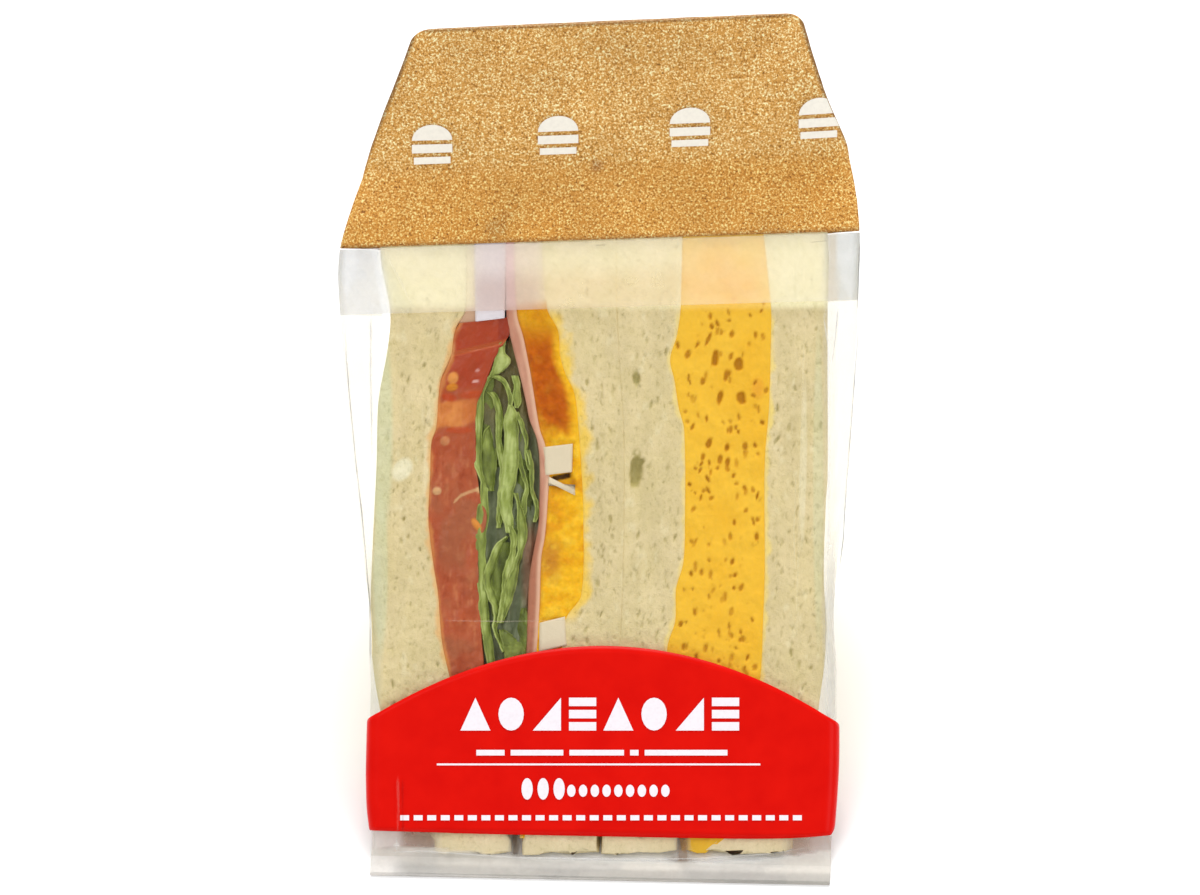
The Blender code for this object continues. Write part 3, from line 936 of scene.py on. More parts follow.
def slice_mesh(
    name, left, right, low, high, look, slot, colour, rough, seed, relief=None, paint=None,
    front=FRONT_ROOM, deep=np.inf, cell=0.4, round_by=0.3, apart=-0.1, slope=0.0, ragged=0.0,
):
    """A slice from its cut face back to the pack's outer faces, or to a given depth."""
    rows = int((high - low) / cell) + 1
    height = np.linspace(low, high, rows)[:, None]
    back = np.minimum(depth(height) - np.minimum(BACK_ROOM, 0.25 * depth(height)), deep)
    start = np.minimum(front, back - 1.0)
    round_by = np.minimum(round_by, (back - start) * 0.3)
    front_parts = max(int(np.max(eased(right[0], height) - eased(left[0], height)) / cell), 4)
    back_parts = max(front_parts // 2, 4)

    def across_at(share, inward):
        begin = side_place(left, height, inward) + apart
        width = side_place(right, height, inward) - apart - begin
        return begin + width * share, np.minimum(share, 1 - share) * width

    def rounding(to_side):
        near = np.clip(1 - to_side / np.maximum(round_by, 1e-6), 0, 1)
        return round_by * (1 - np.sqrt(1 - near**2))

    face, to_side = across_at(np.linspace(0, 1, front_parts + 1)[None], start)
    face_in = start + rounding(to_side)
    if relief:
        face_in = face_in + relief(*face_places(face, height)) * step_up(to_side, 0.0, 1.0)
    share = np.linspace(0, 1, SIDE_PARTS + 1)[None, 1:-1]
    side_in = start + round_by + (back - start - 2 * round_by) * share
    right_side, _ = across_at(1.0, side_in)
    left_side, _ = across_at(0.0, side_in[:, ::-1])
    rear, to_side = across_at(np.linspace(1, 0, back_parts + 1)[None], back)
    across = np.concatenate([face, right_side, rear, left_side], 1)
    inward = np.concatenate([face_in, side_in, back - rounding(to_side), side_in[:, ::-1]], 1)
    middle = across.mean(axis=1, keepdims=True)
    to_end = 1 - 2 * abs((height - low) / (high - low) - 0.5)
    end = np.stack([across, np.full_like(across, seed)], -1)
    shifted = height + slope * (across - middle) * fall(to_end, 0.0, 0.8)
    shifted = shifted + ragged * abs(layered_noise(end, 6, seed + 40)) * fall(height, low, low + 5)
    places = inside(across, shifted, inward)
    bumps = -abs(layered_noise(places, 2.2, seed)) * rough * step_up(inward, 1.5, 4.0)
    places = places + grid_normals(places, closed=True) * bumps[..., None]
    tint = np.broadcast_to(colour, (*across.shape, 3)).copy()
    if paint:
        tint[:, : front_parts + 1] = paint(*face_places(face, height))
        rear_from = front_parts + SIDE_PARTS
        tint[:, rear_from : rear_from + back_parts + 1] = paint(*face_places(rear, height))
    columns = across.shape[1]
    faces = grid_faces(rows, columns, closed=True)
    faces += [list(range(columns)), list(range((rows - 1) * columns, rows * columns))]
    add_mesh(name, places, faces, look, "film_bag", slot, tint)


def pit_field(pits):
    """A function for the depth of a surface's pits. Each pit: across, height, half sizes, tilt, depth."""

    def depth_at(across, height):
        total = np.zeros(across.shape)
        for x, h, half_x, half_h, tilt, deep in pits:
            near = (abs(across - x) < 3 * half_h + 1) & (abs(height - h) < 3 * half_h + 1)
            near_across, near_height = across[near], height[near]
            distance = from_oval(near_across, near_height, x, h, half_x, half_h, tilt)
            uneven = noise(np.stack([near_across - tilt * (near_height - h), near_height], -1), 0.9, 3)
            total[near] = np.maximum(total[near], deep * fall(distance + 0.28 * uneven, 0.55, 1.25))
        return total

    return depth_at


def scattered_pits(seed, count, low, high, left, right, across_size, height_size, deep):
    """Random seeded pits over a band of the face."""
    draw = np.random.default_rng(seed)
    pits = []
    for _ in range(count):
        height = draw.uniform(low, high)
        across = draw.uniform(eased(left[0], height) + 0.8, eased(right[0], height) - 0.8)
        sizes = draw.uniform(*across_size), draw.uniform(*height_size)
        pits.append((across, height, *sizes, draw.normal(0, PIT_TILT), draw.uniform(*deep)))
    return pits


def in_band(height):
    """1 where the frosted band lies over the food."""
    return step_up(height, BAND_FROM - 1, BAND_FROM + 1)


# Front edges of the slices as (height, across), with their places at the pack's outer edges
BREAD_1_LEFT = (
    ((4, -35), (15, -41), (30, -46), (43, -48.2), (54, -48.6), (66, -48.2), (85, -47.3), (98, -46.9),
     (109, -45), (117, -44.4), (130, -46.5), (150, -44)),
    (-34.6, -39.2, -44),
)
BREAD_1_RIGHT = (
    ((4, -19), (22, -27), (36, -31), (46.6, -33.5), (57, -34.4), (62, -35.2), (68.5, -36.1), (73, -36.5),
     (82, -36.1), (89.5, -35.8), (92.5, -34.8), (99.5, -34.3), (103, -33.8), (105.5, -32.7),
     (108.3, -31.6), (113.4, -30.8), (118, -28.6), (150, -29)),
    (-18.8, -23.2, -29),
)
TOMATO_RIGHT = (
    ((4, -18), (36, -24), (45.7, -25.0), (51.5, -25.4), (59, -25.7), (64.7, -25.8), (69, -25.2),
     (71.5, -24.3), (74.5, -24.2), (77, -25.4), (86.6, -26.3), (97, -26.2), (100, -25), (104, -23.4),
     (106.6, -22.4), (109.5, -20.6), (112, -19.2), (116, -19.8), (150, -21)),
    (-18.2, -21, -24),
)
HAM_LEFT = (
    ((4, -17.4), (46.6, -15.4), (53.4, -15.2), (60.9, -14.8), (66.4, -13.9), (72, -12.9), (77, -12.7),
     (85.5, -12.7), (90, -13.3), (94, -14.8), (97, -15.4), (102.8, -16.7), (109.6, -18.4), (116, -19.7),
     (150, -20)),
    (-17.8, -19, -21),
)
HAM_RIGHT = (
    ((4, -17), (45.7, -13.3), (55.3, -12.7), (64.7, -12.4), (69.4, -11.6), (77, -11), (84.5, -10.7),
     (89.4, -11.8), (92, -12.7), (97.9, -13.7), (104.7, -14.8), (111.3, -16.1), (117, -17.6), (150, -18.5)),
    (-17.4, -18, -19),
)
BREAD_2_LEFT = (
    ((4, -16.3), (40, -8.6), (48.5, -7.6), (52.3, -6.9), (56.6, -3.9), (72.8, -3.4), (81, -3.7),
     (94.3, -4.6), (100, -5.4), (104, -7.3), (108, -8.4), (113, -8.8), (118, -11.2), (150, -13)),
    (-16.3, -16.6, -13),
)
BREAD_2_RIGHT = (
    ((1, -1.1), (5.5, -0.7), (10, 1.2), (47.7, 4.4), (60, 4.9), (88, 5.2), (118, 3.7), (150, 3.5)),
    (0.4, -0.25, 3.5),
)
BREAD_3_LEFT = (((1, 0.7), (5.5, 0.8), (10, 1.2), *BREAD_2_RIGHT[0][3:]), BREAD_2_RIGHT[1])
OMELETTE_LEFT = (
    ((1, 19.2), (5, 18.4), (9, 16.4), (30, 15), (45.5, 14.4), (51.3, 16.1), (58.3, 16.3), (63.6, 17.8),
     (73.8, 18.2), (92, 18), (96.4, 16.9), (102.6, 15.9), (107, 15), (112.3, 16.5), (118.5, 17.3),
     (150, 18)),
    (16.4, 15.8, 18),
)
BREAD_3_RIGHT = (((1, 16.3), (9, 16.4), *OMELETTE_LEFT[0][3:]), OMELETTE_LEFT[1])
OMELETTE_RIGHT = (
    ((1, 21.6), (3, 24.2), (6, 27.6), (25, 32), (40.6, 34.4), (50, 34.8), (61, 35.2), (85, 35.2),
     (96.4, 36.1), (110, 36.5), (118.7, 36.5), (150, 33)),
    (24.8, 24.2, 33),
)
BREAD_4_RIGHT = (
    ((4, 41), (20, 45), (34.5, 46.7), (41, 47.6), (50.4, 48.2), (60, 47.6), (76, 48), (82, 48.4),
     (117, 48.4), (130, 48.6), (150, 47)),
    (41, 40, 47),
)

# Lowest and highest height of a slice, and of the pores laid at random in it
BREAD_FROM, BREAD_TO = 1.4, 149
BREAD_PITS = (5, 132)
CRUMB = rgb(221, 204, 155)
PRESSED_CRUMB = rgb(255, 247, 204)
GREENISH = rgb(214, 214, 172)


def bread(name, left, right, seed, side, stain, holes=(), patches=()):
    """A slice of soft bread with its pores, stained where a filling touches it.

    The side is 1 for a stain at the left edge and -1 at the right. The stain has its colour, its reach
    into the bread, and the lowest and highest height."""
    pits = list(holes)
    pits += scattered_pits(seed, 260, *BREAD_PITS, left, right, (0.13, 0.26), (0.25, 0.8), (0.1, 0.35))
    pits += scattered_pits(seed + 1, 26, *BREAD_PITS, left, right, (0.22, 0.4), (0.5, 1.1), (0.3, 0.6))
    pits_at = pit_field(pits)
    edge = left[0] if side > 0 else right[0]
    shade, reach, low, high = stain

    def relief(across, height, flat):
        uneven = 0.1 * layered_noise(flat, 1.6, seed + 3) + 0.15 * noise(flat, 7, seed)
        return pits_at(across, height) + uneven

    def paint(across, height, flat):
        # Darker the deeper the pit: painted shade in the pores.
        colour = mixed(CRUMB, CRUMB * (0.68, 0.70, 0.52), pits_at(across, height) / 0.7)
        colour = colour * (1 + 0.05 * layered_noise(flat * (1.0, 0.22), 2.2, seed + 8))[..., None]
        pale = layered_noise(flat * (1.0, 0.5), 1.3, seed + 9)
        colour = mixed(colour, rgb(240, 230, 190), 0.35 * step_up(pale, 0.5, 1.2))
        away = side * (across - eased(edge, height)) + 0.5 * reach * layered_noise(flat, 3, seed + 5)
        zone = step_up(height, low, low + 4) * fall(height, high - 4, high)
        return painted(
            spots(across, height, colour, patches),
            # Lighter at the lowest ends: painted light against the shade under the label's edge.
            (rgb(248, 232, 190), 0.8 * fall(height, 5, 8)),
            (shade, 0.85 * zone * fall(away, 0.1, reach)),
            (PRESSED_CRUMB, 0.9 * in_band(height)),
        )

    slice_mesh(
        name, left, right, BREAD_FROM, BREAD_TO, CRUMB_LOOK, "bread", CRUMB, 0.12, seed, relief, paint,
        apart=-0.18, ragged=1.2,
    )


def make_breads():
    patches = (
        (-46.5, 92, 2.6, 24, 0.0, GREENISH, 0.8),
        (-46.6, 62, 1.6, 18, 0.0, GREENISH, 0.7),
        # These two are pale streaks of the film painted on the bread: painted reflections.
        (-42.0, 83.5, 2.2, 2.6, 0.3, rgb(244, 238, 206), 0.8),
        (-36.8, 88, 0.6, 12, 0.05, rgb(238, 222, 178), 0.6),
    )
    bread("bread_1", BREAD_1_LEFT, BREAD_1_RIGHT, 11, -1, (rgb(232, 184, 120), 1.2, 40, 117), (), patches)
    bread("bread_2", BREAD_2_LEFT, BREAD_2_RIGHT, 23, 1, (rgb(246, 206, 76), 2.4, 50, 119))
    holes = ((7.9, 83.5, 1.3, 3.8, 0.05, 1.9), (7.9, 103, 0.8, 1.6, 0, 0.9))
    bread("bread_3", BREAD_3_LEFT, BREAD_3_RIGHT, 37, -1, (rgb(242, 220, 140), 0.9, 30, 119), holes)
    # The first patch is a pale streak of the film's crease painted on the bread, a painted reflection; the
    # second a greenish tint.
    patches = ((43.4, 84, 0.7, 18, 0.02, rgb(238, 228, 190), 0.6), (46.6, 80, 1.2, 34, 0.0, GREENISH, 0.5))
    bread("bread_4", OMELETTE_RIGHT, BREAD_4_RIGHT, 53, 1, (rgb(244, 218, 124), 1.2, 30, 119), (), patches)


# Omelette pores that show well: across, height, half width, half height, tilt, depth
OMELETTE_PORES = (
    (24.6, 107.4, 0.8, 1.7, 0.1, 1.6), (29.7, 106.0, 1.0, 1.5, 0.1, 1.6), (26.9, 103.4, 0.5, 1.2, 0.2, 1.2),
    (30.1, 98.7, 1.1, 1.4, 0.0, 1.6), (23.1, 111.1, 0.4, 1.5, 0.4, 1.0), (25.9, 112.8, 0.3, 0.7, 0.0, 0.8),
    (28.2, 112.3, 0.5, 1.1, 0.1, 1.0), (18.8, 108.1, 0.5, 0.9, 0.2, 1.0), (22.0, 102.3, 0.5, 0.9, 0.1, 1.0),
    (25.6, 98.9, 0.6, 1.5, 0.2, 1.4), (27.8, 91.9, 0.5, 1.1, 0.1, 1.0), (31.0, 88.5, 0.5, 0.9, 0.0, 1.0),
    (27.1, 88.3, 0.6, 1.0, 0.1, 1.2), (23.3, 89.1, 0.6, 1.3, 0.2, 1.2), (27.3, 84.9, 0.5, 1.3, 0.1, 1.2),
    (22.0, 86.2, 0.5, 0.9, 0.2, 1.0), (25.6, 85.7, 0.5, 1.0, 0.1, 1.0),
)
# The browner patch: middle, then half sizes
OMELETTE_PATCH = (33.7, 100.8, 1.6, 2.6)


def make_omelette():
    sides = (OMELETTE_LEFT, OMELETTE_RIGHT)
    yolk = rgb(243, 188, 50)
    pits = list(OMELETTE_PORES)
    pits += scattered_pits(71, 135, 34, 120, *sides, (0.24, 0.5), (0.4, 1.05), (0.5, 1.1))
    pits += scattered_pits(73, 70, 20, 118, *sides, (0.14, 0.26), (0.2, 0.5), (0.2, 0.45))
    pits_at = pit_field(pits)

    def relief(across, height, flat):
        return 0.55 * pits_at(across, height) + 0.2 * layered_noise(flat, 3.2, 75)

    def paint(across, height, flat):
        broad = 0.5 + 0.5 * layered_noise(flat, 6, 77)
        patch = from_oval(across, height, *OMELETTE_PATCH)
        return painted(
            mixed(yolk, rgb(246, 196, 60), broad),
            (rgb(236, 166, 50), 0.7 * fall(patch, 0.4, 1.2)),
            # Darker in the pits, the more the deeper they are: painted shade.
            (rgb(198, 138, 24), pits_at(across, height) / 1.1),
            (mixed(rgb(255, 206, 96), rgb(255, 220, 120), broad), in_band(height)),
        )

    look = food_look("omelette", 1.1, 0.5, 0.06, 0.3)
    slice_mesh(
        "omelette", *sides, 1.8, 148.5, look, "omelette", yolk, 0.25, 79, relief, paint,
        cell=0.32, ragged=1.6,
    )


FLESH = rgb(172, 80, 46)
SEED_PALE = rgb(226, 186, 130)
RED_ORANGE = rgb(190, 72, 26)
TOMATO_TOP = rgb(206, 170, 140)
SEED_COUNT = 6
# Seeds first, then seams and spots, two of them painted highlights: across, height, half sizes, tilt,
# colour, strength
TOMATO_SPOTS = (
    (-32.9, 89.8, 1.1, 1.1, 0.0, rgb(206, 138, 88), 0.8),
    (-31.2, 103.4, 1.2, 1.4, 0.0, rgb(232, 156, 76), 0.9),
    (-25.4, 79.2, 1.1, 0.7, 0.0, SEED_PALE, 0.8),
    (-34.6, 79.0, 1.0, 0.9, 0.0, SEED_PALE, 0.7),
    (-31.4, 101.4, 1.3, 0.9, 0.0, rgb(218, 140, 30), 0.8),
    (-26.2, 71.8, 0.9, 1.4, -0.5, rgb(226, 146, 56), 0.9),
    (-25.6, 63.4, 0.5, 0.7, 0.0, rgb(110, 44, 24), 0.7),
    (-32.0, 99.2, 1.6, 1.0, -0.6, rgb(186, 66, 22), 0.8),
    (-27.0, 99.4, 3.0, 0.9, 0.0, RED_ORANGE, 0.7),
    (-32.4, 108.0, 1.2, 3.4, 0.4, rgb(210, 150, 96), 0.6),
    # These two pale spots are painted highlights on the wet flesh.
    (-26.0, 104.5, 0.5, 0.35, 0.0, rgb(224, 170, 160), 0.7),
    (-26.4, 102.2, 0.8, 0.3, 0.0, rgb(230, 180, 168), 0.8),
    (-30.0, 92.0, 3.0, 0.8, -0.6, RED_ORANGE, 0.7),
    (-31.0, 81.0, 0.6, 3.0, 0.4, rgb(186, 96, 58), 0.5),
    (-33.8, 42.8, 1.2, 1.6, 0.0, rgb(226, 180, 56), 0.7),
)
# Middle and slope of the step between the two upper slices
SHELF_ACROSS = -26
SHELF_HEIGHT = 109.4
SHELF_SLOPE = 0.12
# A pale streak, as (across, height)
STREAK = ((-31, 76.6), (-29.5, 78), (-27.5, 78.8), (-25.8, 79.3))


def make_tomato():
    def from_shelf(across, height):
        return abs(height - SHELF_HEIGHT - SHELF_SLOPE * (across - SHELF_ACROSS))

    def relief(across, height, flat):
        total = 0.22 * layered_noise(flat, 4.5, 91) + 0.08 * layered_noise(flat, 1.0, 93)
        for seed in TOMATO_SPOTS[:SEED_COUNT]:
            total = total - 0.4 * fall(from_oval(across, height, *seed[:4]), 0.2, 1.0)
        return total + 0.5 * fall(from_shelf(across, height), 0.1, 0.5)

    def paint(across, height, flat):
        lumps = layered_noise(flat * (1.4, 1), 4, 95)
        fibres = layered_noise(flat * (2.2, 0.8), 1.6, 96)
        blotch = layered_noise(flat, 6.5, 98)
        jelly = mixed(rgb(228, 148, 76), rgb(180, 86, 42), step_up(across, -31, -25))
        jelly_zone = step_up(height + 0.6 * lumps, 92.4, 93.6) * fall(height + 0.5 * lumps, 97.6, 98.8)
        from_bread = across - eased(BREAD_1_RIGHT[0], height) + 0.5 * lumps
        from_streak = abs(height - np.interp(across, *np.transpose(STREAK)))
        on_streak = (across > STREAK[0][0]) & (across <= STREAK[-1][0])
        colour = painted(
            FLESH,
            (rgb(186, 96, 60), 0.4 + 0.5 * lumps),
            (rgb(204, 126, 80), 0.5 * step_up(fibres, 0.3, 1.1)),
            (rgb(150, 58, 28), 0.5 * step_up(-fibres, 0.3, 1.1)),
            (rgb(192, 84, 38), 0.6 * step_up(blotch, 0.1, 0.9)),
            (rgb(166, 100, 66), 0.6 * step_up(-blotch, 0.1, 0.9)),
            (rgb(172, 76, 40), 0.6 * step_up(height, 84, 90)),
            (rgb(172, 62, 32), step_up(height, 99.5, 102) * (0.85 - 0.3 * abs(lumps))),
            (rgb(146, 50, 28), 0.7 * step_up(across, -21.9, -21.3) * step_up(height, 106, 109)),
            (mixed(jelly, rgb(206, 116, 52), 0.4 + 0.4 * fibres), 0.9 * jelly_zone),
            (rgb(202, 104, 54), 0.8 * fall(from_shelf(across, height), 0.2, 0.8)),
            # A lighter orange rim along the bread: painted highlight.
            (rgb(214, 140, 76), 0.7 * fall(from_bread, 0.0, 0.9)),
            (SEED_PALE, 0.6 * on_streak * fall(from_streak, 0.15, 0.5)),
        )
        return spots(across, height, colour, TOMATO_SPOTS)

    def top_paint(across, height, flat):
        return mixed(TOMATO_TOP, rgb(250, 238, 196), in_band(height))

    look = food_look("tomato", 2.2, 0.3, 0.06, 0.15, gloss=0.2)
    slice_mesh(
        "tomato", BREAD_1_RIGHT, TOMATO_RIGHT, 8, 115.3, look, "tomato", FLESH, 0.2, 97, relief, paint,
        cell=0.3, slope=SHELF_SLOPE,
    )
    look = food_look("tomato_top", 2.2, 0.4, 0.04, 0.1)
    right = (((112, -26.1), (150, -26.8)), (-18.2, -21, -26))
    slice_mesh(
        "tomato_top", BREAD_1_RIGHT, right, 114.6, 148, look, "tomato", TOMATO_TOP, 0.1, 99, paint=top_paint,
        front=1.5,
    )


# Leaves of lettuce: left edge and right edge as (height, across), how far behind the film each edge is,
# how far the leaf goes on into the pack from each edge, and its tone at each edge from 0 dark to 1 pale,
# partly the leaf's own colour, partly painted light and shade
LEAVES = {
    "tip": (
        ((103.2, -23.6), (105.7, -22.5), (108, -22.1), (110.3, -21.1), (111, -20.4)),
        ((103.2, -23.0), (103.8, -21.8), (104.8, -20.4), (106.8, -18.9), (108.3, -20.1), (111, -20.1)),
        (1.4, 1.9), (9, 0), (0.75, 1.0),
    ),
    "left_rim": (
        ((42, -23.8), (50.2, -25.2), (56.5, -25.7), (62.7, -26), (67.4, -26.3), (73.6, -26.1),
         (80.2, -25.2), (84.5, -26.6), (91.9, -26.5), (96.5, -26.2), (99.5, -25.8), (101.8, -24.9),
         (103.6, -23.4)),
        ((42, -22.2), (50.2, -23.4), (56.5, -23.9), (62.7, -24.3), (68.9, -24.3), (73.9, -23.7),
         (79.5, -24.0), (84.5, -25.2), (91.9, -25.1), (96.5, -24.8), (99.5, -24.6), (101.3, -24.0),
         (103.6, -22.8)),
        (1.3, 2.0), (12, 14), (0.86, 0.7),
    ),
    "loop": (
        ((96.6, -19.6), (97.9, -19.3), (99.7, -19.6), (101.9, -20.6), (103.0, -22.2), (103.5, -23.3)),
        ((96.6, -19.0), (97.7, -18.6), (100, -18.8), (102.5, -20.0), (103.6, -21.8), (103.8, -23.2)),
        (1.3, 1.5), (9, 4), (0.7, 1.05),
    ),
    # The inside of the loop: dark, with painted shade.
    "loop_inside": (
        ((84, -25.3), (90, -25.2), (96, -24.9), (100, -24.4), (103.2, -22.9)),
        ((84, -20.6), (90, -19.8), (96, -19.2), (100, -19.4), (103.2, -21.8)),
        (2.7, 4.2), (0, 6), (0.58, 0.12),
    ),
    "inner_rib": (
        ((71, -22.0), (78, -21.6), (83.4, -21.2), (87.3, -21.7), (92.3, -22.1), (95.8, -22.1),
         (98.6, -22.9), (100, -23.8)),
        ((71, -21.0), (78, -20.5), (83.4, -19.9), (87.3, -20.5), (90.7, -21.0), (94.7, -20.6), (97, -21.0),
         (98.8, -21.7), (100.3, -22.7)),
        (2.0, 2.2), (8, 9), (1.0, 0.7),
    ),
    "centre": (
        ((70, -19.9), (74.6, -20.9), (77.4, -21.4), (83, -20.8), (89.6, -20.2), (94.2, -20.2),
         (97.3, -19.3)),
        ((70, -18.3), (73.6, -18.6), (77.4, -18.6), (81.4, -17.8), (86, -17.3), (89.6, -17.4),
         (94.7, -17.6), (97.3, -18.7)),
        (1.3, 1.7), (14, 12), (1.0, 0.82),
    ),
    "right": (
        ((96.6, -18.0), (98.8, -18.3), (101.1, -18.1), (103.5, -18.6)),
        ((96.6, -17.4), (98.1, -16.6), (100, -16.9), (103.5, -17.3)),
        (1.6, 1.8), (9, 6), (0.95, 0.75),
    ),
    "right_rib": (
        ((83.4, -15.3), (87.3, -15.9), (89.6, -15.9), (91.9, -16.6), (95.8, -17.7)),
        ((83.4, -14.5), (87.3, -15.3), (90.3, -15.4), (92.2, -16.0), (95.8, -17.2)),
        (1.9, 2.0), (8, 7), (0.9, 0.6),
    ),
    # A leaf set back behind the others, dark with painted shade.
    "right_back": (
        ((69, -18.2), (76, -17.9), (84, -17.3), (92, -17.3), (96, -17.6)),
        ((69, -15.6), (76, -14.4), (84, -14.6), (92, -15.9), (96, -17.0)),
        (2.8, 3.3), (0, 8), (0.5, 0.22),
    ),
    "grey": (
        ((78.9, -23.6), (81.4, -24.6), (84.5, -25.2), (88.4, -25.2), (91.4, -24.6), (92.9, -23.6)),
        ((78.9, -22.6), (81.4, -22.4), (84.5, -21.9), (87.5, -22.1), (90.7, -22.9), (92.9, -23.4)),
        (2.0, 2.8), (9, 9), (0.62, 0.7),
    ),
    "rib_a": (
        ((72.3, -14.2), (74.6, -13.7), (76.7, -13.9), (79.5, -14.8), (81.4, -14.7), (84.9, -15.0),
         (87.7, -15.6)),
        ((72.3, -13.6), (73.9, -13.0), (76.7, -13.2), (79.5, -14.1), (81.4, -14.0), (84.9, -14.3),
         (87.7, -15.0)),
        (1.8, 1.9), (8, 7), (0.9, 0.65),
    ),
    "rib_b": (
        ((73.3, -17.2), (74.6, -16.5), (76.7, -16.5), (79.7, -15.8), (84, -17.2), (87.5, -17.6)),
        ((73.3, -16.3), (74.6, -15.6), (76.7, -15.7), (79.7, -15.1), (84, -16.3), (87.5, -16.9)),
        (2.0, 2.1), (8, 7), (0.85, 0.6),
    ),
    "rib_c": (
        ((50.8, -21.2), (53.3, -20.6), (56.5, -20.0), (59.6, -19.7), (62.7, -18.4), (65.8, -17.5),
         (68.9, -17.3), (72.7, -17.5), (75.8, -17.6), (78.5, -18.2)),
        ((50.8, -20.6), (54.9, -19.0), (58, -18.1), (62.7, -17.2), (65.8, -16.4), (68.9, -15.6),
         (73, -15.8), (75.8, -16.8), (78.5, -17.5)),
        (1.5, 1.9), (10, 12), (0.95, 0.6),
    ),
    "centre_rib": (
        ((50.8, -21.9), (54.9, -21.2), (59.6, -20.7), (63.3, -20.0), (65.8, -19.0), (68.9, -18.8),
         (71.6, -19.8)),
        ((50.8, -21.1), (54.9, -20.5), (59.6, -19.6), (62.7, -18.4), (65.8, -18.0), (68.9, -17.6),
         (71.6, -18.7)),
        (1.3, 1.6), (12, 10), (0.8, 1.0),
    ),
    "fold": (
        ((44.6, -20.7), (47.1, -21.8), (49.9, -22.9), (51.8, -22.5), (54, -22.8), (56.5, -23.7),
         (59, -24.6), (61.5, -24.5), (64.6, -23.4), (67.4, -22.2), (69.3, -20.1)),
        ((44.6, -20.2), (47.4, -21.2), (49.9, -22.0), (51.8, -21.5), (54.9, -21.5), (57.1, -22.3),
         (59, -22.9), (61.5, -22.6), (64.6, -21.6), (67.4, -20.6), (69.3, -19.5)),
        (1.3, 2.3), (8, 10), (1.0, 0.62),
    ),
    # This leaf and the next are set back between the ribs, dark with painted shade.
    "fold_inside": (
        ((51, -22.3), (57, -23.3), (61.5, -23.5), (65, -22.6), (68, -20.8)),
        ((51, -20.9), (57, -19.6), (61.5, -19.0), (65, -18.6), (68, -18.4)),
        (2.4, 2.8), (9, 9), (0.45, 0.3),
    ),
    "between_ribs": (
        ((51, -21.3), (57, -20.3), (62, -19.3), (68, -18.2), (73, -18.2)),
        ((51, -20.7), (57, -18.8), (62, -17.6), (68, -16.6), (73, -16.6)),
        (2.3, 2.5), (9, 9), (0.5, 0.4),
    ),
    "bottom_patch": (
        ((42, -19.8), (46.5, -20.6), (49.4, -21.4)),
        ((42, -15.8), (45.5, -15.7), (47.4, -17.6), (49.4, -20.6)),
        (1.7, 2.3), (9, 8), (0.8, 0.5),
    ),
    "low_slant": (
        ((44, -17.4), (49, -17.3), (54, -16.6)),
        ((44, -15.4), (49, -15.3), (54, -15.6)),
        (2.3, 2.0), (8, 8), (0.4, 0.6),
    ),
}

# Colour of a leaf by tone, from painted shade in the depths to a pale cut edge: tone, red, green, blue
LEAF_TONES = (
    (0, 58, 60, 32), (0.3, 88, 98, 44), (0.6, 120, 132, 60), (0.85, 150, 164, 80), (1.1, 186, 198, 122),
)
LEAF_ROWS = 90
LEAF_COLUMNS = 11
# Least distance of a leaf behind the cut face, its least width, and how far its edges waver
NEAREST_LEAF = 1.15
LEAST_WIDTH = 0.15
EDGE_WAVE = 0.16
# Tone of the pale cut edge: partly its own colour, partly painted highlight.
EDGE_TONE = 1.1


def leaf_colour(tone):
    table = np.array([(row[0], *rgb(*row[1:])) for row in LEAF_TONES]).T
    return np.stack([np.interp(tone, table[0], values) for values in table[1:]], -1)


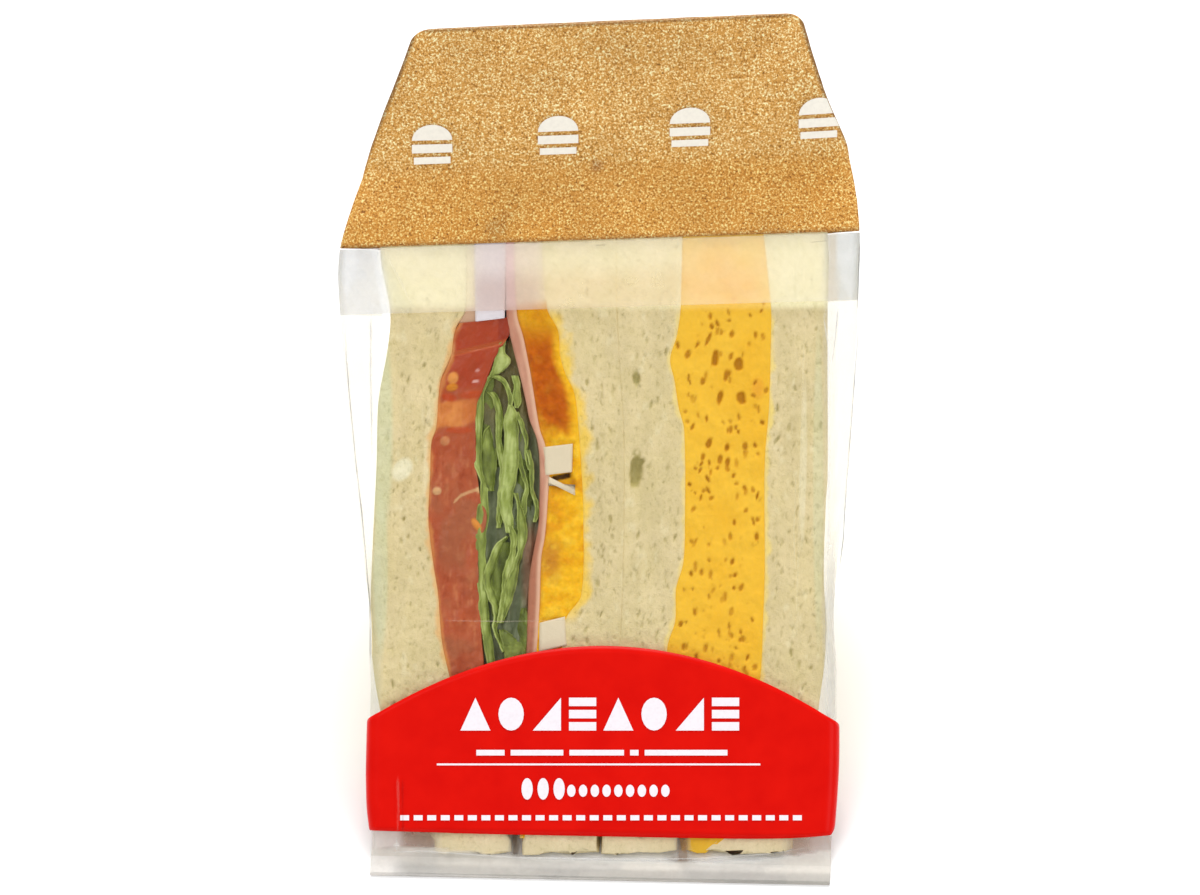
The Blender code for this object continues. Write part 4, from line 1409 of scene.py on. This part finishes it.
def leaf_mesh(name, seed):
    """Places and shades of one leaf's visible band, with the parts that go on into the pack."""
    left, right, (near_left, near_right), (deep_left, deep_right), (tone_left, tone_right) = LEAVES[name]
    low, high = max(left[0][0], right[0][0]), min(left[-1][0], right[-1][0])
    height = np.linspace(low, high, LEAF_ROWS)[:, None]
    line = np.concatenate([height, np.full_like(height, seed)], 1)
    start = eased(left, height) + EDGE_WAVE * layered_noise(line, 1.6, seed)[:, None]
    end = eased(right, height) + EDGE_WAVE * layered_noise(line, 1.6, seed + 3)[:, None]
    width = np.maximum(end - start, LEAST_WIDTH)
    t = np.linspace(0, 1, LEAF_COLUMNS)[None]
    across, _, flat = face_places(start + width * t, height)
    crinkle = 0.3 * layered_noise(flat * (1.5, 0.6), 1.5, seed + 5)
    bulge = -0.16 * np.minimum(width, 3) * np.sin(np.pi * t)
    inward = np.maximum(near_left + (near_right - near_left) * t + bulge + crinkle, NEAREST_LEAF)
    parts = [np.stack([across, inward])]
    body = np.linspace(0, 1, 7)[None, 1:]
    sides = ((-1, inward[:, :1], deep_left, start), (1, inward[:, -1:], deep_right, start + width))
    for side, near, deep, edge in sides:
        if deep:
            place = np.stack(np.broadcast_arrays(height, body * deep, edge), -1)
            ruffle = noise(place, 5, seed + 7) * 0.7 * body
            part = np.stack([edge + ruffle - side * 0.3 * body, near + body * deep])
            parts = [part[..., ::-1], *parts] if side < 0 else [*parts, part]
    across, inward = np.concatenate(parts, -1)
    flat = face_places(across, height)[2]
    share = np.clip((across - start) / width, 0, 1)
    veins = layered_noise(flat * (2.6, 0.45), 1.6, seed + 9)
    mottle = layered_noise(flat, 3.2, seed + 11)
    tone = tone_left + (tone_right - tone_left) * share + 0.22 * veins + 0.12 * mottle
    to_edge = np.minimum(abs(across - start), abs(across - start - width))
    pale = max(tone_left, tone_right) > 0.6
    # A pale rim along the cut edges, partly painted highlight, with a darker line just inside it.
    tone = tone + (EDGE_TONE - tone) * 0.55 * fall(to_edge, 0.0, 0.3) * fall(inward, 2.6, 4.0) * pale
    tone = tone - 0.25 * fall(to_edge, 0.3, 0.55) * step_up(to_edge, 0.05, 0.3) * pale
    # Darker the deeper the leaf lies in the pack: painted shade.
    return inside(across, height, inward), leaf_colour(tone * (1 - 0.9 * step_up(inward, 3.4, 8)))


def make_lettuce():
    look = food_look("lettuce", 0.9, 0.4, 0.08, 0.3, gloss=0.2)
    sheets = [leaf_mesh(name, 200 + 10 * i) for i, name in enumerate(LEAVES)]
    thicken(add_sheets("lettuce_leaves", sheets, look, "lettuce"), LEAF_THICK, 0)

    def relief(across, height, flat):
        return 0.9 * layered_noise(flat * (1.5, 0.4), 2.4, 261)

    def paint(across, height, flat):
        tone = 0.5 + 0.5 * layered_noise(flat * (1.5, 0.4), 2.4, 263)
        # The core's dull slate and brown: painted shade in the deep gaps between the leaves.
        slate = mixed(rgb(98, 106, 78), rgb(132, 138, 106), tone)
        brown = mixed(rgb(96, 90, 54), rgb(122, 112, 68), tone)
        pinkish = step_up(across, -17.2, -15.4) * step_up(height, 52, 58) * fall(height, 68, 74)
        return painted(slate, (brown, step_up(height, 84, 98)), (rgb(142, 100, 78), 0.75 * pinkish))

    slice_mesh(
        "lettuce_core", TOMATO_RIGHT, HAM_LEFT, 6, 112, look, "lettuce", rgb(120, 150, 80), 0.3, 265,
        relief, paint, front=2.8,
    )


def make_ham():
    pink = rgb(206, 152, 126)

    def relief(across, height, flat):
        return 0.12 * layered_noise(flat, 2.0, 281)

    def paint(across, height, flat):
        colour = mixed(pink, rgb(184, 120, 98), 0.4 + 0.5 * layered_noise(flat * (2, 0.4), 2.5, 283))
        away = eased(HAM_RIGHT[0], height) - across
        return painted(
            colour,
            (rgb(178, 116, 90), fall(height, 62, 84)),
            (rgb(226, 182, 152), fall(away, 0.3, 1.2)),
            (rgb(240, 206, 206), in_band(height)),
        )

    look = food_look("ham", 1.4, 0.45, 0.05, 0.2)
    slice_mesh("ham", HAM_LEFT, HAM_RIGHT, 6, 148, look, "ham", pink, 0.1, 285, relief, paint, cell=0.35)


# Middle of the hollow between the two upper whites, painted dark as shade, as (across, height)
HOLLOW_ACROSS, HOLLOW_HEIGHT = -8.2, 81.9
HOLLOW_SLOPE = 0.22
# The browner patch low in the yolk: middle, then half sizes
YOLK_PATCH = (-10.4, 64.5, 2.8, 5.0)
# Places of the whites' left and right sides at the pack's outer edges, behind the yolk and at the top
BEHIND_YOLK = ((-17.3, -18, -18.5), (-16.4, -16.8, -14))
BEHIND_TOP = ((-18.2, -21, -26), (-17.8, -19, -20))
CREAM = rgb(226, 212, 182)
# Name, left and right side as (height, across), places behind, lowest and highest height, slope, colour
WHITES = (
    ("egg_white_upper", ((80, -11.4), (92, -12.2)), ((80, -5.9), (92, -5.6)), BEHIND_YOLK,
     82.6, 88.6, 0.12, CREAM),
    ("egg_white_strip", ((70, -10.9), (85, -10.9)), ((70, -5.2), (85, -5.2)), BEHIND_YOLK,
     79.6, 80.8, -0.5, CREAM),
    ("egg_white_lower", ((40, -13.0), (56, -12.7)), ((40, -6.6), (56, -7.6)), BEHIND_YOLK,
     45.2, 51.4, 0.25, CREAM),
    ("egg_white_top", ((110, -26.4), (150, -27)), ((110, -20.3), (150, -19.5)), BEHIND_TOP, 115.4, 148, 0.12,
     rgb(232, 226, 230)),
)


def make_egg():
    """Crumbly yolk along the second bread, with pieces of white lying in it."""
    yolk = rgb(242, 178, 24)

    def in_hollow(across, height):
        rise = height - HOLLOW_HEIGHT - HOLLOW_SLOPE * (across - HOLLOW_ACROSS)
        return fall(abs(rise), 0.35, 0.75) * fall(abs(across - HOLLOW_ACROSS), 1.6, 2.4)

    def behind_whites(across, height):
        upper = step_up(height, 79, 80) * fall(height, 89, 90)
        lower = step_up(height, 44, 46) * fall(height, 51.5, 52.5)
        return (upper + lower) * fall(across, -6.0, -4.8)

    def relief(across, height, flat):
        crumbs = 0.3 * layered_noise(flat, 1.8, 301, layers=4)
        return crumbs + 1.2 * in_hollow(across, height) + 0.8 * behind_whites(across, height)

    def paint(across, height, flat):
        lumps = layered_noise(flat, 3.0, 303)
        crumbs = layered_noise(flat, 1.1, 304)
        left, right = eased(HAM_RIGHT[0], height), eased(BREAD_2_LEFT[0], height)
        rich = step_up(height + 1.5 * lumps, 88.5, 95) * fall(height + lumps, 111, 116)
        rich = rich * fall((across - left) / (right - left) + 0.06 * lumps, 0.68, 0.96)
        patch = from_oval(across, height, *YOLK_PATCH) + 0.45 * lumps
        plain = 0.6 * (1 - 0.85 * rich)
        band = step_up(height + 0.5 * lumps, BAND_FROM - 0.5, BAND_FROM + 2)
        return painted(
            mixed(yolk, rgb(250, 196, 40), 0.5 + 0.5 * crumbs),
            (mixed(rgb(158, 60, 4), rgb(206, 104, 10), 0.65 + 0.3 * crumbs), rich),
            (rgb(196, 124, 40), 0.8 * fall(patch, 0.2, 1.3)),
            (rgb(222, 140, 20), plain * step_up(lumps, 0.1, 0.8)),
            (rgb(252, 206, 60), plain * step_up(-lumps, 0.1, 0.8)),
            (rgb(214, 140, 14), 0.6 * step_up(height, 108, 114)),
            (rgb(196, 120, 40), 0.5 * fall(across - left, 0.1, 0.8) * step_up(height, 50, 55)),
            # Painted shade in the hollow between the whites.
            (rgb(96, 70, 36), in_hollow(across, height)),
            (rgb(250, 240, 206), band),
        )

    look = food_look("egg_yolk", 0.9, 0.7, 0.12, 0.5)
    slice_mesh(
        "egg_yolk", HAM_RIGHT, BREAD_2_LEFT, 5, 148, look, "egg_yolk", yolk, 0.3, 307, relief, paint,
        cell=0.3,
    )
    look = food_look("egg_white", 3.0, 0.4, 0.02, 0.1)
    for name, left, right, behind, low, high, slope, colour in WHITES:
        slice_mesh(
            name, (left, behind[0]), (right, behind[1]), low, high, look, "egg_white", colour, 0.08, 309,
            front=0.75, deep=26, round_by=0.4, apart=0, slope=slope,
        )


# Camera, floor and light

PHOTO_WIDE = 1200
# Photo pixels per millimetre on the pack's front
PHOTO_SCALE = 4.7
CAMERA_AWAY = 1500
AIM_ACROSS = 0.1
AIM_HEIGHT = 88.2
SENSOR = 36
# In metres
FLOOR_HALF = 3.0
LIGHT_AIM_HEIGHT = 0.06
# Name, place and size in metres, power in watts
LAMPS = (
    ("key", (-0.5, -0.5, 1.1), 0.7, 2.6),
    ("fill", (0.9, -0.6, 0.6), 0.6, 2.4),
    ("above", (0.0, 0.95, 1.5), 1.0, 27.0),
)
SURROUND_LIGHT = 0.62


def make_camera():
    """A camera square to the sloping front, with the photo's frame."""
    lens = bpy.data.cameras.new("camera")
    camera = add_object("camera", lens)
    lens.sensor_width = SENSOR
    lens.lens = SENSOR * CAMERA_AWAY * PHOTO_SCALE / PHOTO_WIDE
    place = (inside(AIM_ACROSS, AIM_HEIGHT, -CAMERA_AWAY) + SHIFT) * MM
    turn = Matrix.Rotation(math.pi / 2 - FACE_LEAN, 4, "X")
    camera.matrix_world = Matrix.Translation(place) @ turn
    bpy.context.scene.camera = camera


def make_floor():
    mesh = bpy.data.meshes.new("floor")
    corners = [(x * FLOOR_HALF, y * FLOOR_HALF, 0) for x, y in ((-1, -1), (1, -1), (1, 1), (-1, 1))]
    mesh.from_pydata(corners, [], [(0, 1, 2, 3)])
    tree = Tree("pale_floor")
    colour = tree.ramp(tree.noise(300, detail=1), (0.3, 0.93), (0.7, 0.95))
    mesh.materials.append(tree.finish(tree.plain(colour, 0.9, 0.1)))
    add_object("floor", mesh)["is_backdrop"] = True


def make_light():
    scene = bpy.context.scene
    scene.view_settings.view_transform = "Standard"
    scene.world = bpy.data.worlds.new("studio")
    scene.world.use_nodes = True
    background = scene.world.node_tree.nodes["Background"]
    background.inputs["Color"].default_value = WHITE
    background.inputs["Strength"].default_value = SURROUND_LIGHT
    for name, place, size, power in LAMPS:
        lamp = bpy.data.lights.new(name, "AREA")
        lamp.shape = "DISK"
        lamp.size = size
        lamp.energy = power
        made = add_object(name, lamp)
        made.location = place
        made.rotation_mode = "QUATERNION"
        made.rotation_quaternion = (Vector(place) - Vector((0, 0, LIGHT_AIM_HEIGHT))).to_track_quat("Z", "Y")


CRUMB_LOOK = crumb_look()
make_film()
make_header()
make_label()
make_label_print()
make_header_print()
make_breads()
make_omelette()
make_tomato()
make_lettuce()
make_ham()
make_egg()
make_camera()
make_floor()
make_light()

boxes = [cad_box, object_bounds()]
[[list(corner) for corner in box] for box in boxes]
